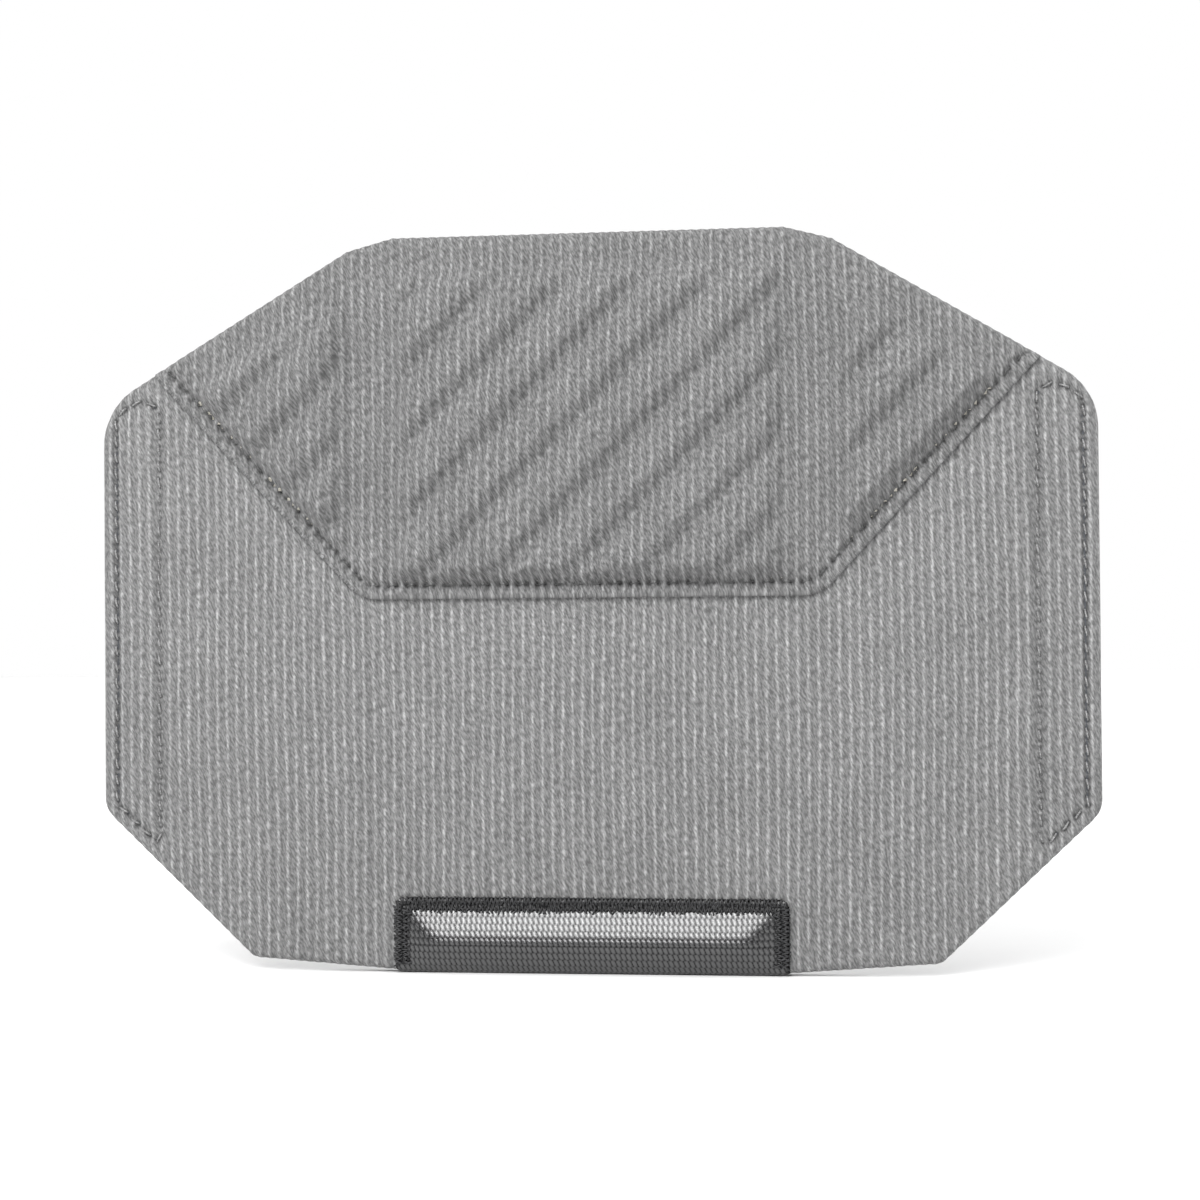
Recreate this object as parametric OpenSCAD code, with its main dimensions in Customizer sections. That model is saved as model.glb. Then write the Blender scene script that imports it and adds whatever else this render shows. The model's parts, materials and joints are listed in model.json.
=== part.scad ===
// Back protector: a panel of three sections that wraps round the back on two fabric folds.
// Ribbed fabric covers an impact core and a comfort foam, a padded yoke with diagonal channels
// lies over the upper part, a ribbon grip wraps the bottom edge, and a hook tape is sewn on
// the rear of each wing.
// X points right and Z up as seen from the front, and the outer face looks towards -Y.
// The origin is the centre of the rear face, which lies in the plane y = 0.

/* [Panel outline] */
// Width over both wings
panel_w = 302; // [250:1:364]
// Height from the bottom edge to the top edge
panel_h = 222; // [184:1:268]
// Width of the centre section, from fold to fold
centre_w = 133; // [110:1:160]
// Drop from the top edge to the shoulder corner
shoulder_drop = 50; // [40:1:60]
// Width of the bevel that the top edge makes over each fold
bevel_w = 14; // [8:0.5:17]
// Drop of that bevel
bevel_drop = 3.7; // [1:0.1:6]
// Width of the cut below each side
cut_w = 47; // [30:1:48]
// Height of that cut
cut_h = 45; // [30:1:60]
// Rise of the bottom corner above the bottom edge
hem_rise = 3.2; // [1:0.1:6]
// Radius of the shoulder corner
shoulder_r = 20; // [5:1:28]
// Radius of the lower side corner
side_r = 9; // [3:0.5:15]
// Radius of the bottom corner
hem_r = 5; // [2:0.5:8]

/* [Layers] */
// Thickness of the ribbed fabric
fabric_t = 1.2; // [0.8:0.1:1.6]
// Thickness of the impact core
core_t = 2; // [1.5:0.1:4]
// Thickness of the comfort foam
foam_t = 3; // [2:0.1:6]
// Thickness of the rear lining
lining_t = 0.8; // [0.5:0.1:1.2]
// Space between the impact core and the edge of its section
core_clear = 3; // [2:0.1:6]
// Diameter of the vent holes in the impact core
vent_d = 8; // [5:0.5:10]
// Distance between neighbouring vent holes
vent_pitch = 24; // [18:1:30]

/* [Folds] */
// Angle that a wing can bend back, towards the outer face
back_flex = 10; // [0:1:12]
// Space that is left at a fold when its wing is bent back
fold_clear = 0.4; // [0.2:0.1:1]

/* [Yoke] */
// Height of the yoke, from its lower edge to the top edge of the panel
yoke_h = 110; // [92:1:132]
// Distance that the yoke's lower edge goes past each fold
yoke_lap = 3; // [1:0.5:4]
// Angle of the yoke's slanted edges above the horizontal
yoke_angle = 47; // [42:1:55]
// Width of the flat strip between the pads, over each fold
strip_w = 12.5; // [10:0.5:16]
// Height of the pads above the fabric
pad_t = 5.5; // [4:0.1:7]
// Width of the slope round each pad
pad_slope = 5; // [3:0.1:7]
// Flat hem between a pad and the outline of the panel
pad_hem = 9; // [6:0.1:12]
// Flat lip between a pad and the free edge of the yoke
pad_lip = 4.8; // [3.6:0.1:7]
// Distance between neighbouring channels
channel_pitch = 15.75; // [12:0.25:20]
// Angle of the channels above the horizontal
channel_angle = 45; // [35:1:55]
// Place of the channel that runs nearest to the origin, from the origin
channel_start = 7.4; // [0:0.1:15]
// Radius of a channel's round bottom in the pad
channel_r = 8; // [5:0.1:12]
// Depth of a channel
channel_d = 1; // [0.5:0.1:1.2]

/* [Hook tapes] */
// Width of the hook tape
tape_w = 16; // [14:0.5:20]
// Thickness of the hook tape
tape_t = 1.5; // [1:0.1:3]
// Flat margin between the tape and the outline of the panel
tape_margin = 3.2; // [2:0.1:6]
// Width of the slanted corner at the top of the tape, below the shoulder
tape_corner_w = 7.5; // [5:0.1:8]
// Space between the tape and the yoke's free edge, as seen from the front
tape_yoke_clear = 1; // [0.5:0.5:2]
// Radius of the tape's top corners
tape_r = 4; // [2:0.5:4]

/* [Grip] */
// Distance between the grip and each fold
grip_clear = 7; // [4:0.5:12]
// Height of the grip on the outer face
grip_h = 22; // [18:0.5:30]
// Height of the grip on the rear face
grip_rear_h = 12; // [8:0.5:20]
// Thickness of the ribbon
ribbon_t = 0.8; // [0.5:0.1:1.2]
// Radius of the grip's top corners
grip_r = 3; // [1:0.5:4]
// Width of the sewn border round the filler
border_w = 3.6; // [3:0.1:5]
// Thickness of the filler at its ridge
filler_t = 2.8; // [1.5:0.1:5]
// Width of the filler's slope at its ends and at its top
filler_slope = 8; // [6:0.5:10]
// Width of the filler's flat ridge
ridge_w = 3; // [1:0.5:4]
// Space between the filler and the bottom edge
filler_rise = 1.5; // [0.5:0.1:2.5]

/* [Sewing] */
// Diameter of the sewing thread
thread_d = 0.6; // [0.4:0.05:1]
// Length of a stitch on the surface
stitch_l = 2.4; // [1.5:0.1:3]
// Distance between neighbouring stitches of the yoke
topstitch_pitch = 5.7; // [4:0.1:8]
// Distance between neighbouring stitches of a hook tape
tape_stitch_pitch = 5; // [4:0.1:8]
// Distance between the yoke's free edge and its topstitch
topstitch_margin = 4.2; // [2.5:0.1:4.5]
// Distance between the edge of a hook tape and its stitches
tape_stitch_margin = 1.2; // [0.8:0.1:2]
// Distance between neighbouring strands of the grip's zigzag
zigzag_pitch = 1.5; // [1.2:0.1:3]
// Lean of a zigzag strand
zigzag_lean = 18; // [5:1:25]

/* [Hidden] */

CENTRE = 0;
LEFT = -1;
RIGHT = 1;
FABRIC = "#969696";
CORE = "#3c3f44";
FOAM = "#d8d4c8";
LINING = "#4a4a4c";
THREAD = "#5b5b5b";
TAPE = "#2c2c2e";
RIBBON = "#3a3a3a";

// Depth of each layer's outer side in front of the rear face
lining_y = lining_t;
foam_y = lining_y + foam_t;
core_y = foam_y + core_t;
face_y = core_y + fabric_t;
cover_y = face_y + fabric_t;
pad_y = face_y + pad_t;

top = panel_h / 2;
bottom = -panel_h / 2;
fold_x = centre_w / 2;
fold_gap = 2 * cover_y * tan(back_flex / 2) + fold_clear;
grip_w = centre_w - 2 * grip_clear;
far = panel_w + panel_h;
arc_step = 12;
stitch_trim = 2.5; // space between the last stitch of a row and its end
step = 0.01;

function unit(v) = v / norm(v);
function left_of(u) = [-u.y, u.x];
function cross_z(u, v) = u.x * v.y - u.y * v.x;
function turned(u, a) = [u.x * cos(a) - u.y * sin(a), u.x * sin(a) + u.y * cos(a)];

// Where the line through p along u meets the line through q along v
function line_meet(p, u, q, v) = p + u * cross_z(q - p, v) / cross_z(u, v);

// A counterclockwise convex outline moved inwards by d
function inset(pts, d) = let (n = len(pts)) [
  for (i = [0 : n - 1]) let (
    u = unit(pts[i] - pts[(i + n - 1) % n]),
    v = unit(pts[(i + 1) % n] - pts[i])
  ) line_meet(pts[i] + left_of(u) * d, u, pts[i] + left_of(v) * d, v)
];

// A counterclockwise convex outline with a radius at each corner, where 0 leaves it sharp
function rounded(pts, radii) = let (n = len(pts)) [
  for (i = [0 : n - 1]) let (
    u = unit(pts[i] - pts[(i + n - 1) % n]),
    v = unit(pts[(i + 1) % n] - pts[i]),
    turn = acos(u * v),
    r = radii[i],
    centre = pts[i] - u * r * tan(turn / 2) + left_of(u) * r,
    steps = r > 0 ? ceil(turn / arc_step) : 0
  ) each [
    for (k = [0 : steps])
      steps == 0 ? pts[i] : centre - left_of(turned(u, turn * k / steps)) * r
  ]
];

// The same outline on the other side of the middle
function flipped(pts) = [for (i = [len(pts) - 1 : -1 : 0]) [-pts[i].x, pts[i].y]];
function on_side(pts, side) = side == LEFT ? flipped(pts) : pts;

function box_outline(x0, x1, y0, y1) = [[x0, y0], [x1, y0], [x1, y1], [x0, y1]];

// Corners of the panel's right half, from the bottom to the top
hem_corner = [panel_w / 2 - cut_w, bottom + hem_rise];
side_corner = [panel_w / 2, bottom + hem_rise + cut_h];
shoulder = [panel_w / 2, top - shoulder_drop];
bevel_low = [fold_x + bevel_w / 2, top - bevel_drop];
bevel_high = [fold_x - bevel_w / 2, top];
hem_start = [grip_w / 2 + 1.5, bottom];
right_corners = [hem_start, hem_corner, side_corner, shoulder, bevel_low, bevel_high];
right_radii = [0, hem_r, side_r, shoulder_r, 0, 0];
left_radii = [for (i = [len(right_radii) - 1 : -1 : 0]) right_radii[i]];
corners = concat(right_corners, flipped(right_corners));
corner_radii = concat(right_radii, left_radii);

// The panel's outline, moved inwards by d
function outline(d) = rounded(inset(corners, d), [for (r = corner_radii) max(r - d, 0)]);

// Corners of the yoke: its free edge, then the panel's outline above it
chamfer = unit(bevel_low - shoulder);
slant = [cos(yoke_angle), sin(yoke_angle)];
yoke_corner = [fold_x + yoke_lap, top - yoke_h];
yoke_tip = line_meet(yoke_corner, slant, shoulder, chamfer);
right_yoke = [yoke_corner, yoke_tip, bevel_low, bevel_high];
yoke_outline = concat(right_yoke, flipped(right_yoke));

// Feet of the pads
pad_side = fold_x - strip_w / 2;
centre_foot = box_outline(-pad_side, pad_side, yoke_corner.y + pad_lip, top - pad_hem);
wing_pad_side = [fold_x + strip_w / 2, 0];
slant_foot = yoke_corner + left_of(slant) * pad_lip;
chamfer_foot = shoulder + left_of(chamfer) * pad_hem;
wing_foot = [
  line_meet(wing_pad_side, [0, 1], slant_foot, slant),
  line_meet(slant_foot, slant, chamfer_foot, chamfer),
  line_meet(wing_pad_side, [0, 1], chamfer_foot, chamfer)
];
function foot(side) = side == CENTRE ? centre_foot : on_side(wing_foot, side);

// Outline of a hook tape, which follows the cut below the side and the slant above it
tape_out = panel_w / 2 - tape_margin;
tape_in = tape_out - tape_w;
cut = unit(side_corner - hem_corner);
cut_edge = hem_corner + left_of(cut) * tape_margin;
slant_edge = shoulder + left_of(chamfer) * tape_margin;
tape_peak = line_meet([tape_out - tape_corner_w, 0], [0, 1], slant_edge, chamfer);
yoke_limit = line_meet([tape_in, 0], [0, 1], yoke_corner - left_of(slant) * tape_yoke_clear, slant);
tape_drop = [0, max(tape_peak.y - yoke_limit.y, 0)]; // brings the tape's top down below the yoke
tape_top = tape_peak - tape_drop;
tape_corners = [
  line_meet([tape_in, 0], [0, 1], cut_edge, cut),
  line_meet([tape_out, 0], [0, 1], cut_edge, cut),
  line_meet([tape_out, 0], [0, 1], slant_edge, chamfer) - tape_drop,
  tape_top,
  [tape_in, tape_top.y]
];
tape_radii = [0, 0, tape_r, tape_r, tape_r];

// Outlines of the grip and its filler
grip_half = grip_w / 2;
grip_front = box_outline(-grip_half, grip_half, bottom, bottom + grip_h);
filler_half = grip_half - border_w;
filler_low = bottom + filler_rise;
filler_high = bottom + grip_h - border_w;
filler_foot = box_outline(-filler_half, filler_half, filler_low, filler_high);
ridge_half = filler_half - filler_slope;
ridge_high = filler_high - filler_slope;
filler_ridge = box_outline(-ridge_half, ridge_half, ridge_high - ridge_w, ridge_high);

// Stands a piece up that was drawn lying on its rear face
module upright() rotate([90, 0, 0]) children();

// A layer between two depths
module layer(rear, front, pts) {
  translate([0, 0, rear]) linear_extrude(front - rear) polygon(pts);
}

// What lies in one section, with a space left beside each fold
module in_section(side, clear = fold_gap / 2) {
  intersection() {
    children();
    if (side == CENTRE)
      layer(-far, far, box_outline(clear - fold_x, fold_x - clear, -far, far));
    else
      layer(-far, far, on_side(box_outline(fold_x + clear, far, -far, far), side));
  }
}

// A solid whose sides slope from one outline to another with as many points
module frustum(low, high, rear, front) {
  n = len(low);
  polyhedron(
    points = concat([for (p = low) [p.x, p.y, rear]], [for (p = high) [p.x, p.y, front]]),
    faces = concat(
      [[for (i = [0 : n - 1]) i]],
      [[for (i = [n - 1 : -1 : 0]) n + i]],
      [for (i = [0 : n - 1]) [i, n + i, n + (i + 1) % n, (i + 1) % n]]
    )
  );
}

// The rods that press the channels into the pad that stands on a foot
module channel_rods(pts, r) {
  run = [cos(channel_angle), sin(channel_angle)];
  places = [for (p = pts) cross_z(p, run)];
  first = ceil((min(places) - channel_start) / channel_pitch);
  last = floor((max(places) - channel_start) / channel_pitch);
  for (k = [first : last]) {
    place = -left_of(run) * (channel_start + k * channel_pitch);
    translate([place.x, place.y, pad_y + channel_r - channel_d])
      rotate([0, 90, channel_angle])
        cylinder(h = 2 * far, r = r, center = true, $fn = 48);
  }
}

module pad_solid(side) {
  difference() {
    frustum(foot(side), inset(foot(side), pad_slope), face_y, pad_y);
    channel_rods(foot(side), channel_r);
  }
}

// Stitches that lie in a straight row from a to b at a depth
module stitch_row(a, b, pitch, depth) {
  run = unit(b - a);
  free = norm(b - a) - 2 * stitch_trim - stitch_l;
  count = max(floor(free / pitch), 0);
  spread = count > 0 ? free / count : 0;
  for (i = [0 : count]) {
    place = (a + b) / 2 + run * spread * (i - count / 2);
    translate([place.x, place.y, depth])
      rotate([0, 90, atan2(run.y, run.x)])
        cylinder(h = stitch_l, d = thread_d, center = true, $fn = 16);
  }
}

// Strands that zigzag across a border from a to b, leaning both ways in turn
module zigzag_row(a, b, width, depth) {
  run = unit(b - a);
  count = floor(norm(b - a) / zigzag_pitch);
  for (i = [0 : count]) {
    place = a + (b - a) * i / count;
    lean = i % 2 == 0 ? zigzag_lean : -zigzag_lean;
    translate([place.x, place.y, depth])
      rotate([0, 90, atan2(run.y, run.x) + 90 + lean])
        cylinder(h = width, d = thread_d, center = true, $fn = 16);
  }
}

// Space that the grip's rear flap takes up, flush with the rear face
module flap_space(rear) {
  layer(rear, ribbon_t,
    box_outline(-grip_half, grip_half, bottom - ribbon_t, bottom + grip_rear_h));
}

// Ribbed fabric over the whole front, turned round the outline to the rear face
module face_panel(side) {
  color(FABRIC) upright() in_section(side) difference() {
    layer(0, face_y, outline(0));
    layer(-1, core_y, outline(fabric_t));
    flap_space(-1);
  }
}

// Stiff impact core with staggered vent holes
module core_plate(side) {
  clear = fold_gap / 2 + core_clear;
  rows = ceil(panel_h / vent_pitch / 2);
  cols = ceil(panel_w / vent_pitch / 2);
  edge = core_clear + vent_d;
  color(CORE) upright() difference() {
    in_section(side, clear) layer(foam_y, core_y, outline(fabric_t + core_clear));
    in_section(side, clear + vent_d) intersection() {
      layer(foam_y - 1, core_y + 1, outline(fabric_t + edge));
      for (row = [-rows : rows], col = [-cols : cols]) {
        shift = row % 2 == 0 ? 0 : vent_pitch / 2;
        translate([col * vent_pitch + shift, row * vent_pitch, 0])
          cylinder(h = 2 * far, d = vent_d, center = true, $fn = 32);
      }
    }
  }
}

// Soft foam between the core and the wearer
module comfort_foam(side) {
  color(FOAM) upright() in_section(side) difference() {
    layer(lining_y, foam_y, outline(fabric_t));
    flap_space(-1);
  }
}

// Lining that closes the rear inside the turned edge
module rear_lining(side) {
  color(LINING) upright() in_section(side) difference() {
    layer(0, lining_y, outline(fabric_t));
    flap_space(-1);
  }
}

// Foam pad with diagonal channels
module yoke_pad(side) {
  color(FABRIC) upright() pad_solid(side);
}

// Ribbed fabric over the pad, with a flat lip round it
module yoke_cover(side) {
  high = inset(foot(side), pad_slope - fabric_t / 2);
  color(FABRIC) upright() difference() {
    union() {
      in_section(side) layer(face_y, cover_y, yoke_outline);
      difference() {
        frustum(inset(foot(side), -fabric_t / 2), high, face_y + step, pad_y + fabric_t);
        channel_rods(foot(side), channel_r - fabric_t);
      }
    }
    pad_solid(side);
  }
}

// Topstitch along the free edge of the yoke
module yoke_topstitch(side) {
  inner = inset(yoke_outline, topstitch_margin);
  corner = inner[0];
  tip = inner[1];
  color(THREAD) upright() {
    if (side == CENTRE)
      stitch_row([-fold_x, corner.y], [fold_x, corner.y], topstitch_pitch, cover_y);
    else
      stitch_row([side * corner.x, corner.y], [side * tip.x, tip.y], topstitch_pitch, cover_y);
  }
}

// Hook tape on the rear of a wing
module hook_tape(side) {
  color(TAPE) upright()
    layer(-tape_t, 0, on_side(rounded(tape_corners, tape_radii), side));
}

// Closed loop of stitches that holds the hook tape, as it shows on the outer face
module hook_tape_stitches(side) {
  loop = on_side(inset(tape_corners, tape_stitch_margin), side);
  color(THREAD) upright()
    for (i = [0 : len(loop) - 1])
      stitch_row(loop[i], loop[(i + 1) % len(loop)], tape_stitch_pitch, face_y);
}

// Filler that gives the grip its ridge
module grip_filler() {
  color(FOAM) upright()
    frustum(filler_foot, filler_ridge, face_y, face_y + filler_t);
}

// Ribbon that covers the filler and wraps the bottom edge, with a flap on the rear
module grip_ribbon() {
  foot = inset(filler_foot, -ribbon_t);
  ridge = inset(filler_ridge, -ribbon_t / 2);
  color(RIBBON) upright() difference() {
    union() {
      layer(face_y, face_y + ribbon_t, rounded(grip_front, [0, 0, grip_r, grip_r]));
      flap_space(0);
      layer(0, face_y + ribbon_t,
        box_outline(-grip_half, grip_half, bottom - ribbon_t, bottom));
      frustum(foot, ridge, face_y, face_y + filler_t + ribbon_t);
    }
    frustum(filler_foot, filler_ridge, face_y, face_y + filler_t);
  }
}

// Zigzag along the top and the sides of the grip
module grip_stitches() {
  depth = face_y + ribbon_t;
  middle = border_w / 2;
  width = border_w - ribbon_t - thread_d;
  x = grip_half - middle;
  high = bottom + grip_h - middle;
  color(THREAD) upright() {
    zigzag_row([-x, high], [x, high], width, depth);
    zigzag_row([-x, bottom + border_w / 2], [-x, high - border_w], width, depth);
    zigzag_row([x, bottom + border_w / 2], [x, high - border_w], width, depth);
  }
}

face_panel(CENTRE);  // face_panel_centre
core_plate(CENTRE);  // core_plate_centre
comfort_foam(CENTRE);  // comfort_foam_centre
rear_lining(CENTRE);  // rear_lining_centre
yoke_pad(CENTRE);  // yoke_pad_centre
yoke_cover(CENTRE);  // yoke_cover_centre
yoke_topstitch(CENTRE);  // yoke_topstitch_centre
grip_ribbon();
grip_filler();
grip_stitches();
face_panel(LEFT);  // face_panel_left
core_plate(LEFT);  // core_plate_left
comfort_foam(LEFT);  // comfort_foam_left
rear_lining(LEFT);  // rear_lining_left
yoke_pad(LEFT);  // yoke_pad_left
yoke_cover(LEFT);  // yoke_cover_left
yoke_topstitch(LEFT);  // yoke_topstitch_left
hook_tape(LEFT);  // hook_tape_left
hook_tape_stitches(LEFT);  // hook_tape_stitches_left
face_panel(RIGHT);  // face_panel_right
core_plate(RIGHT);  // core_plate_right
comfort_foam(RIGHT);  // comfort_foam_right
rear_lining(RIGHT);  // rear_lining_right
yoke_pad(RIGHT);  // yoke_pad_right
yoke_cover(RIGHT);  // yoke_cover_right
yoke_topstitch(RIGHT);  // yoke_topstitch_right
hook_tape(RIGHT);  // hook_tape_right
hook_tape_stitches(RIGHT);  // hook_tape_stitches_right
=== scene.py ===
"""Back protector: ribbed cloth, channelled yoke, sewn tapes and a ribbon grip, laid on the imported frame."""

import json
import logging
import math
from collections.abc import Callable, Iterable, Sequence
from dataclasses import dataclass
from enum import Enum

import bmesh
import bpy
import numpy as np
from mathutils import Matrix, Vector

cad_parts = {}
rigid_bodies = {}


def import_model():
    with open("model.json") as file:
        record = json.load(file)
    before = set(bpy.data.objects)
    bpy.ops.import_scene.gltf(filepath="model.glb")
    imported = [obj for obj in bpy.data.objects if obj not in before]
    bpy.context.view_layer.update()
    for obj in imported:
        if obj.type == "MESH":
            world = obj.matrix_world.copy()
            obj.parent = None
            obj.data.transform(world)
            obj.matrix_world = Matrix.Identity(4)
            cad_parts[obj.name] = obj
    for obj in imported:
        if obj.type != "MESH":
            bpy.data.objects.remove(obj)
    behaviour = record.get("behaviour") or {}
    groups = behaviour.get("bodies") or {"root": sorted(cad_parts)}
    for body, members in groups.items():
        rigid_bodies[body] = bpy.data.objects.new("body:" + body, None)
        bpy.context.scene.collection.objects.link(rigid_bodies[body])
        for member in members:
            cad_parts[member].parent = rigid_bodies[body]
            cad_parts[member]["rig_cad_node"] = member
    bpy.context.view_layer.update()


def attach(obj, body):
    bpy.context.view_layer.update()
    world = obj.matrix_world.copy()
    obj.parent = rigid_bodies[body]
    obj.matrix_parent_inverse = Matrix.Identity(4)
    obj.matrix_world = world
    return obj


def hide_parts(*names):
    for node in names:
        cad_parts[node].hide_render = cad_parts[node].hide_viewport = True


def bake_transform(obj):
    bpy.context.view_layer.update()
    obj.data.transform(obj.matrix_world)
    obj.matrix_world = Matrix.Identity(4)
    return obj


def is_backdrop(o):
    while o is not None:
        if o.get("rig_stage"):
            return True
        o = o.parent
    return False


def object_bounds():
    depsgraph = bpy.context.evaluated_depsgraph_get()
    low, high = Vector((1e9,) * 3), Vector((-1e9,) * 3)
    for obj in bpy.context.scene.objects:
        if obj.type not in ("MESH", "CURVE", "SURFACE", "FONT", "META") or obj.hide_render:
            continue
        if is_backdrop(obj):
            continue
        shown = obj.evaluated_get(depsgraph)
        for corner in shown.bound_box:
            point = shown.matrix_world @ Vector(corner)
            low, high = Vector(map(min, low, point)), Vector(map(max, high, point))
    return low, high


LOG = logging.getLogger("back_protector")
Array = np.ndarray

# Turns a direction in the plane of the panel a quarter to its left
LEFT_OF = np.array([[0.0, -1.0], [1.0, 0.0]])

# Directions that a stitch can face: out of the panel's face, or out of its rear
FORWARDS = Vector((0, -1, 0))
BACKWARDS = Vector((0, 1, 0))

# A place nearer to the middle line than this is on it
ON_MIDDLE = 1e-6


# ---------------------------------------------------------------- flat outlines


class Outline:
    """A closed convex outline in the plane of the panel, counterclockwise, in metres."""

    def __init__(self, points: Sequence[Sequence[float]]) -> None:
        """Keeps the points.

        Args:
            points: Corners as (x, z), counterclockwise.
        """
        self.points: Array = np.array(points, float)

    def inset(self, distance: float) -> "Outline":
        """Moves every side inwards.

        Args:
            distance: How far, or a negative number for outwards.

        Returns:
            The moved outline, with as many corners.
        """
        p = self.points
        before, after = p - np.roll(p, 1, 0), np.roll(p, -1, 0) - p
        before /= np.linalg.norm(before, axis=1)[:, None]
        after /= np.linalg.norm(after, axis=1)[:, None]
        left_before = np.stack([-before[:, 1], before[:, 0]], 1)
        left_after = np.stack([-after[:, 1], after[:, 0]], 1)
        share = 1 + (left_before * left_after).sum(1)
        return Outline(p + distance * (left_before + left_after) / share[:, None])

    def rounded(self, radii: Sequence[float], step: float = math.radians(4)) -> "Outline":
        """Rounds the corners.

        Args:
            radii: A radius for each corner, where 0 leaves it sharp.
            step: Turn between two points of an arc.

        Returns:
            The outline with an arc at each corner that has a radius.
        """
        made: list[Array] = []
        p = self.points
        for i, radius in enumerate(radii):
            u = p[i] - p[i - 1]
            v = p[(i + 1) % len(p)] - p[i]
            u, v = u / np.linalg.norm(u), v / np.linalg.norm(v)
            turn = math.acos(float(np.clip(u @ v, -1, 1)))
            if radius <= 0 or turn < 1e-4:
                made.append(p[i])
                continue
            left = np.array([-u[1], u[0]])
            centre = p[i] - u * radius * math.tan(turn / 2) + left * radius
            for k in range(math.ceil(turn / step) + 1):
                a = turn * k / math.ceil(turn / step)
                w = u * math.cos(a) + left * math.sin(a)
                made.append(centre - np.array([-w[1], w[0]]) * radius)
        return Outline(made)

    def nearest(self, points: Array) -> tuple[Array, Array, Array]:
        """Measures points against the outline.

        Args:
            points: Points as rows of (x, z).

        Returns:
            Distance from the outline, which is positive outside, the nearest point on it, and the outward
            direction.
        """
        a, b = self.points, np.roll(self.points, -1, 0)
        side = b - a
        length = np.linalg.norm(side, axis=1)
        a, side, length = a[length > 1e-9], side[length > 1e-9], length[length > 1e-9]
        out = np.stack([side[:, 1], -side[:, 0]], 1) / length[:, None]
        signed, foot, away = np.empty(len(points)), np.empty((len(points), 2)), np.empty((len(points), 2))
        # Points are measured in batches, to spare memory
        batch = 20000
        for low in range(0, len(points), batch):
            p = points[low : low + batch]
            rel = p[:, None] - a[None]
            t = np.clip((rel * side).sum(2) / length**2, 0, 1)
            gap = rel - t[..., None] * side
            size = np.linalg.norm(gap, axis=2)
            k = size.argmin(1)
            row = np.arange(len(p))
            inside = ((rel * out).sum(2)).max(1) <= 0
            near, d = p - gap[row, k], size[row, k]
            direction = np.where((d > 1e-7)[:, None], (p - near) / np.maximum(d, 1e-9)[:, None], out[k])
            direction[inside & (d > 1e-7)] *= -1
            signed[low : low + batch] = np.where(inside, -d, d)
            foot[low : low + batch], away[low : low + batch] = near, direction
        return signed, foot, away


def line_meet(p: Array, u: Array, q: Array, v: Array) -> Array:
    """Finds where two lines meet.

    Args:
        p: A point on the first line.
        u: Its direction.
        q: A point on the second line.
        v: Its direction.

    Returns:
        The point that both lines pass through.
    """
    p, u, q, v = (np.asarray(w, float) for w in (p, u, q, v))
    cross = u[0] * v[1] - u[1] * v[0]
    r = q - p
    return p + u * (r[0] * v[1] - r[1] * v[0]) / cross


def smooth(t: Array) -> Array:
    """Goes smoothly from 0 to 1 while t does."""
    t = np.clip(t, 0, 1)
    return t * t * (3 - 2 * t)


def bump_at(distance: Array, width: float) -> Array:
    """A soft round bump, 1 where the distance is 0."""
    return np.exp(-((distance / width) ** 2))


# ------------------------------------------------------------------ the sizes


class Side(Enum):
    """The two halves of the protector, as seen from the front."""

    LEFT = -1
    RIGHT = 1

    @property
    def word(self) -> str:
        """The side's name in the names of nodes and bodies."""
        return self.name.lower()


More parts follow.
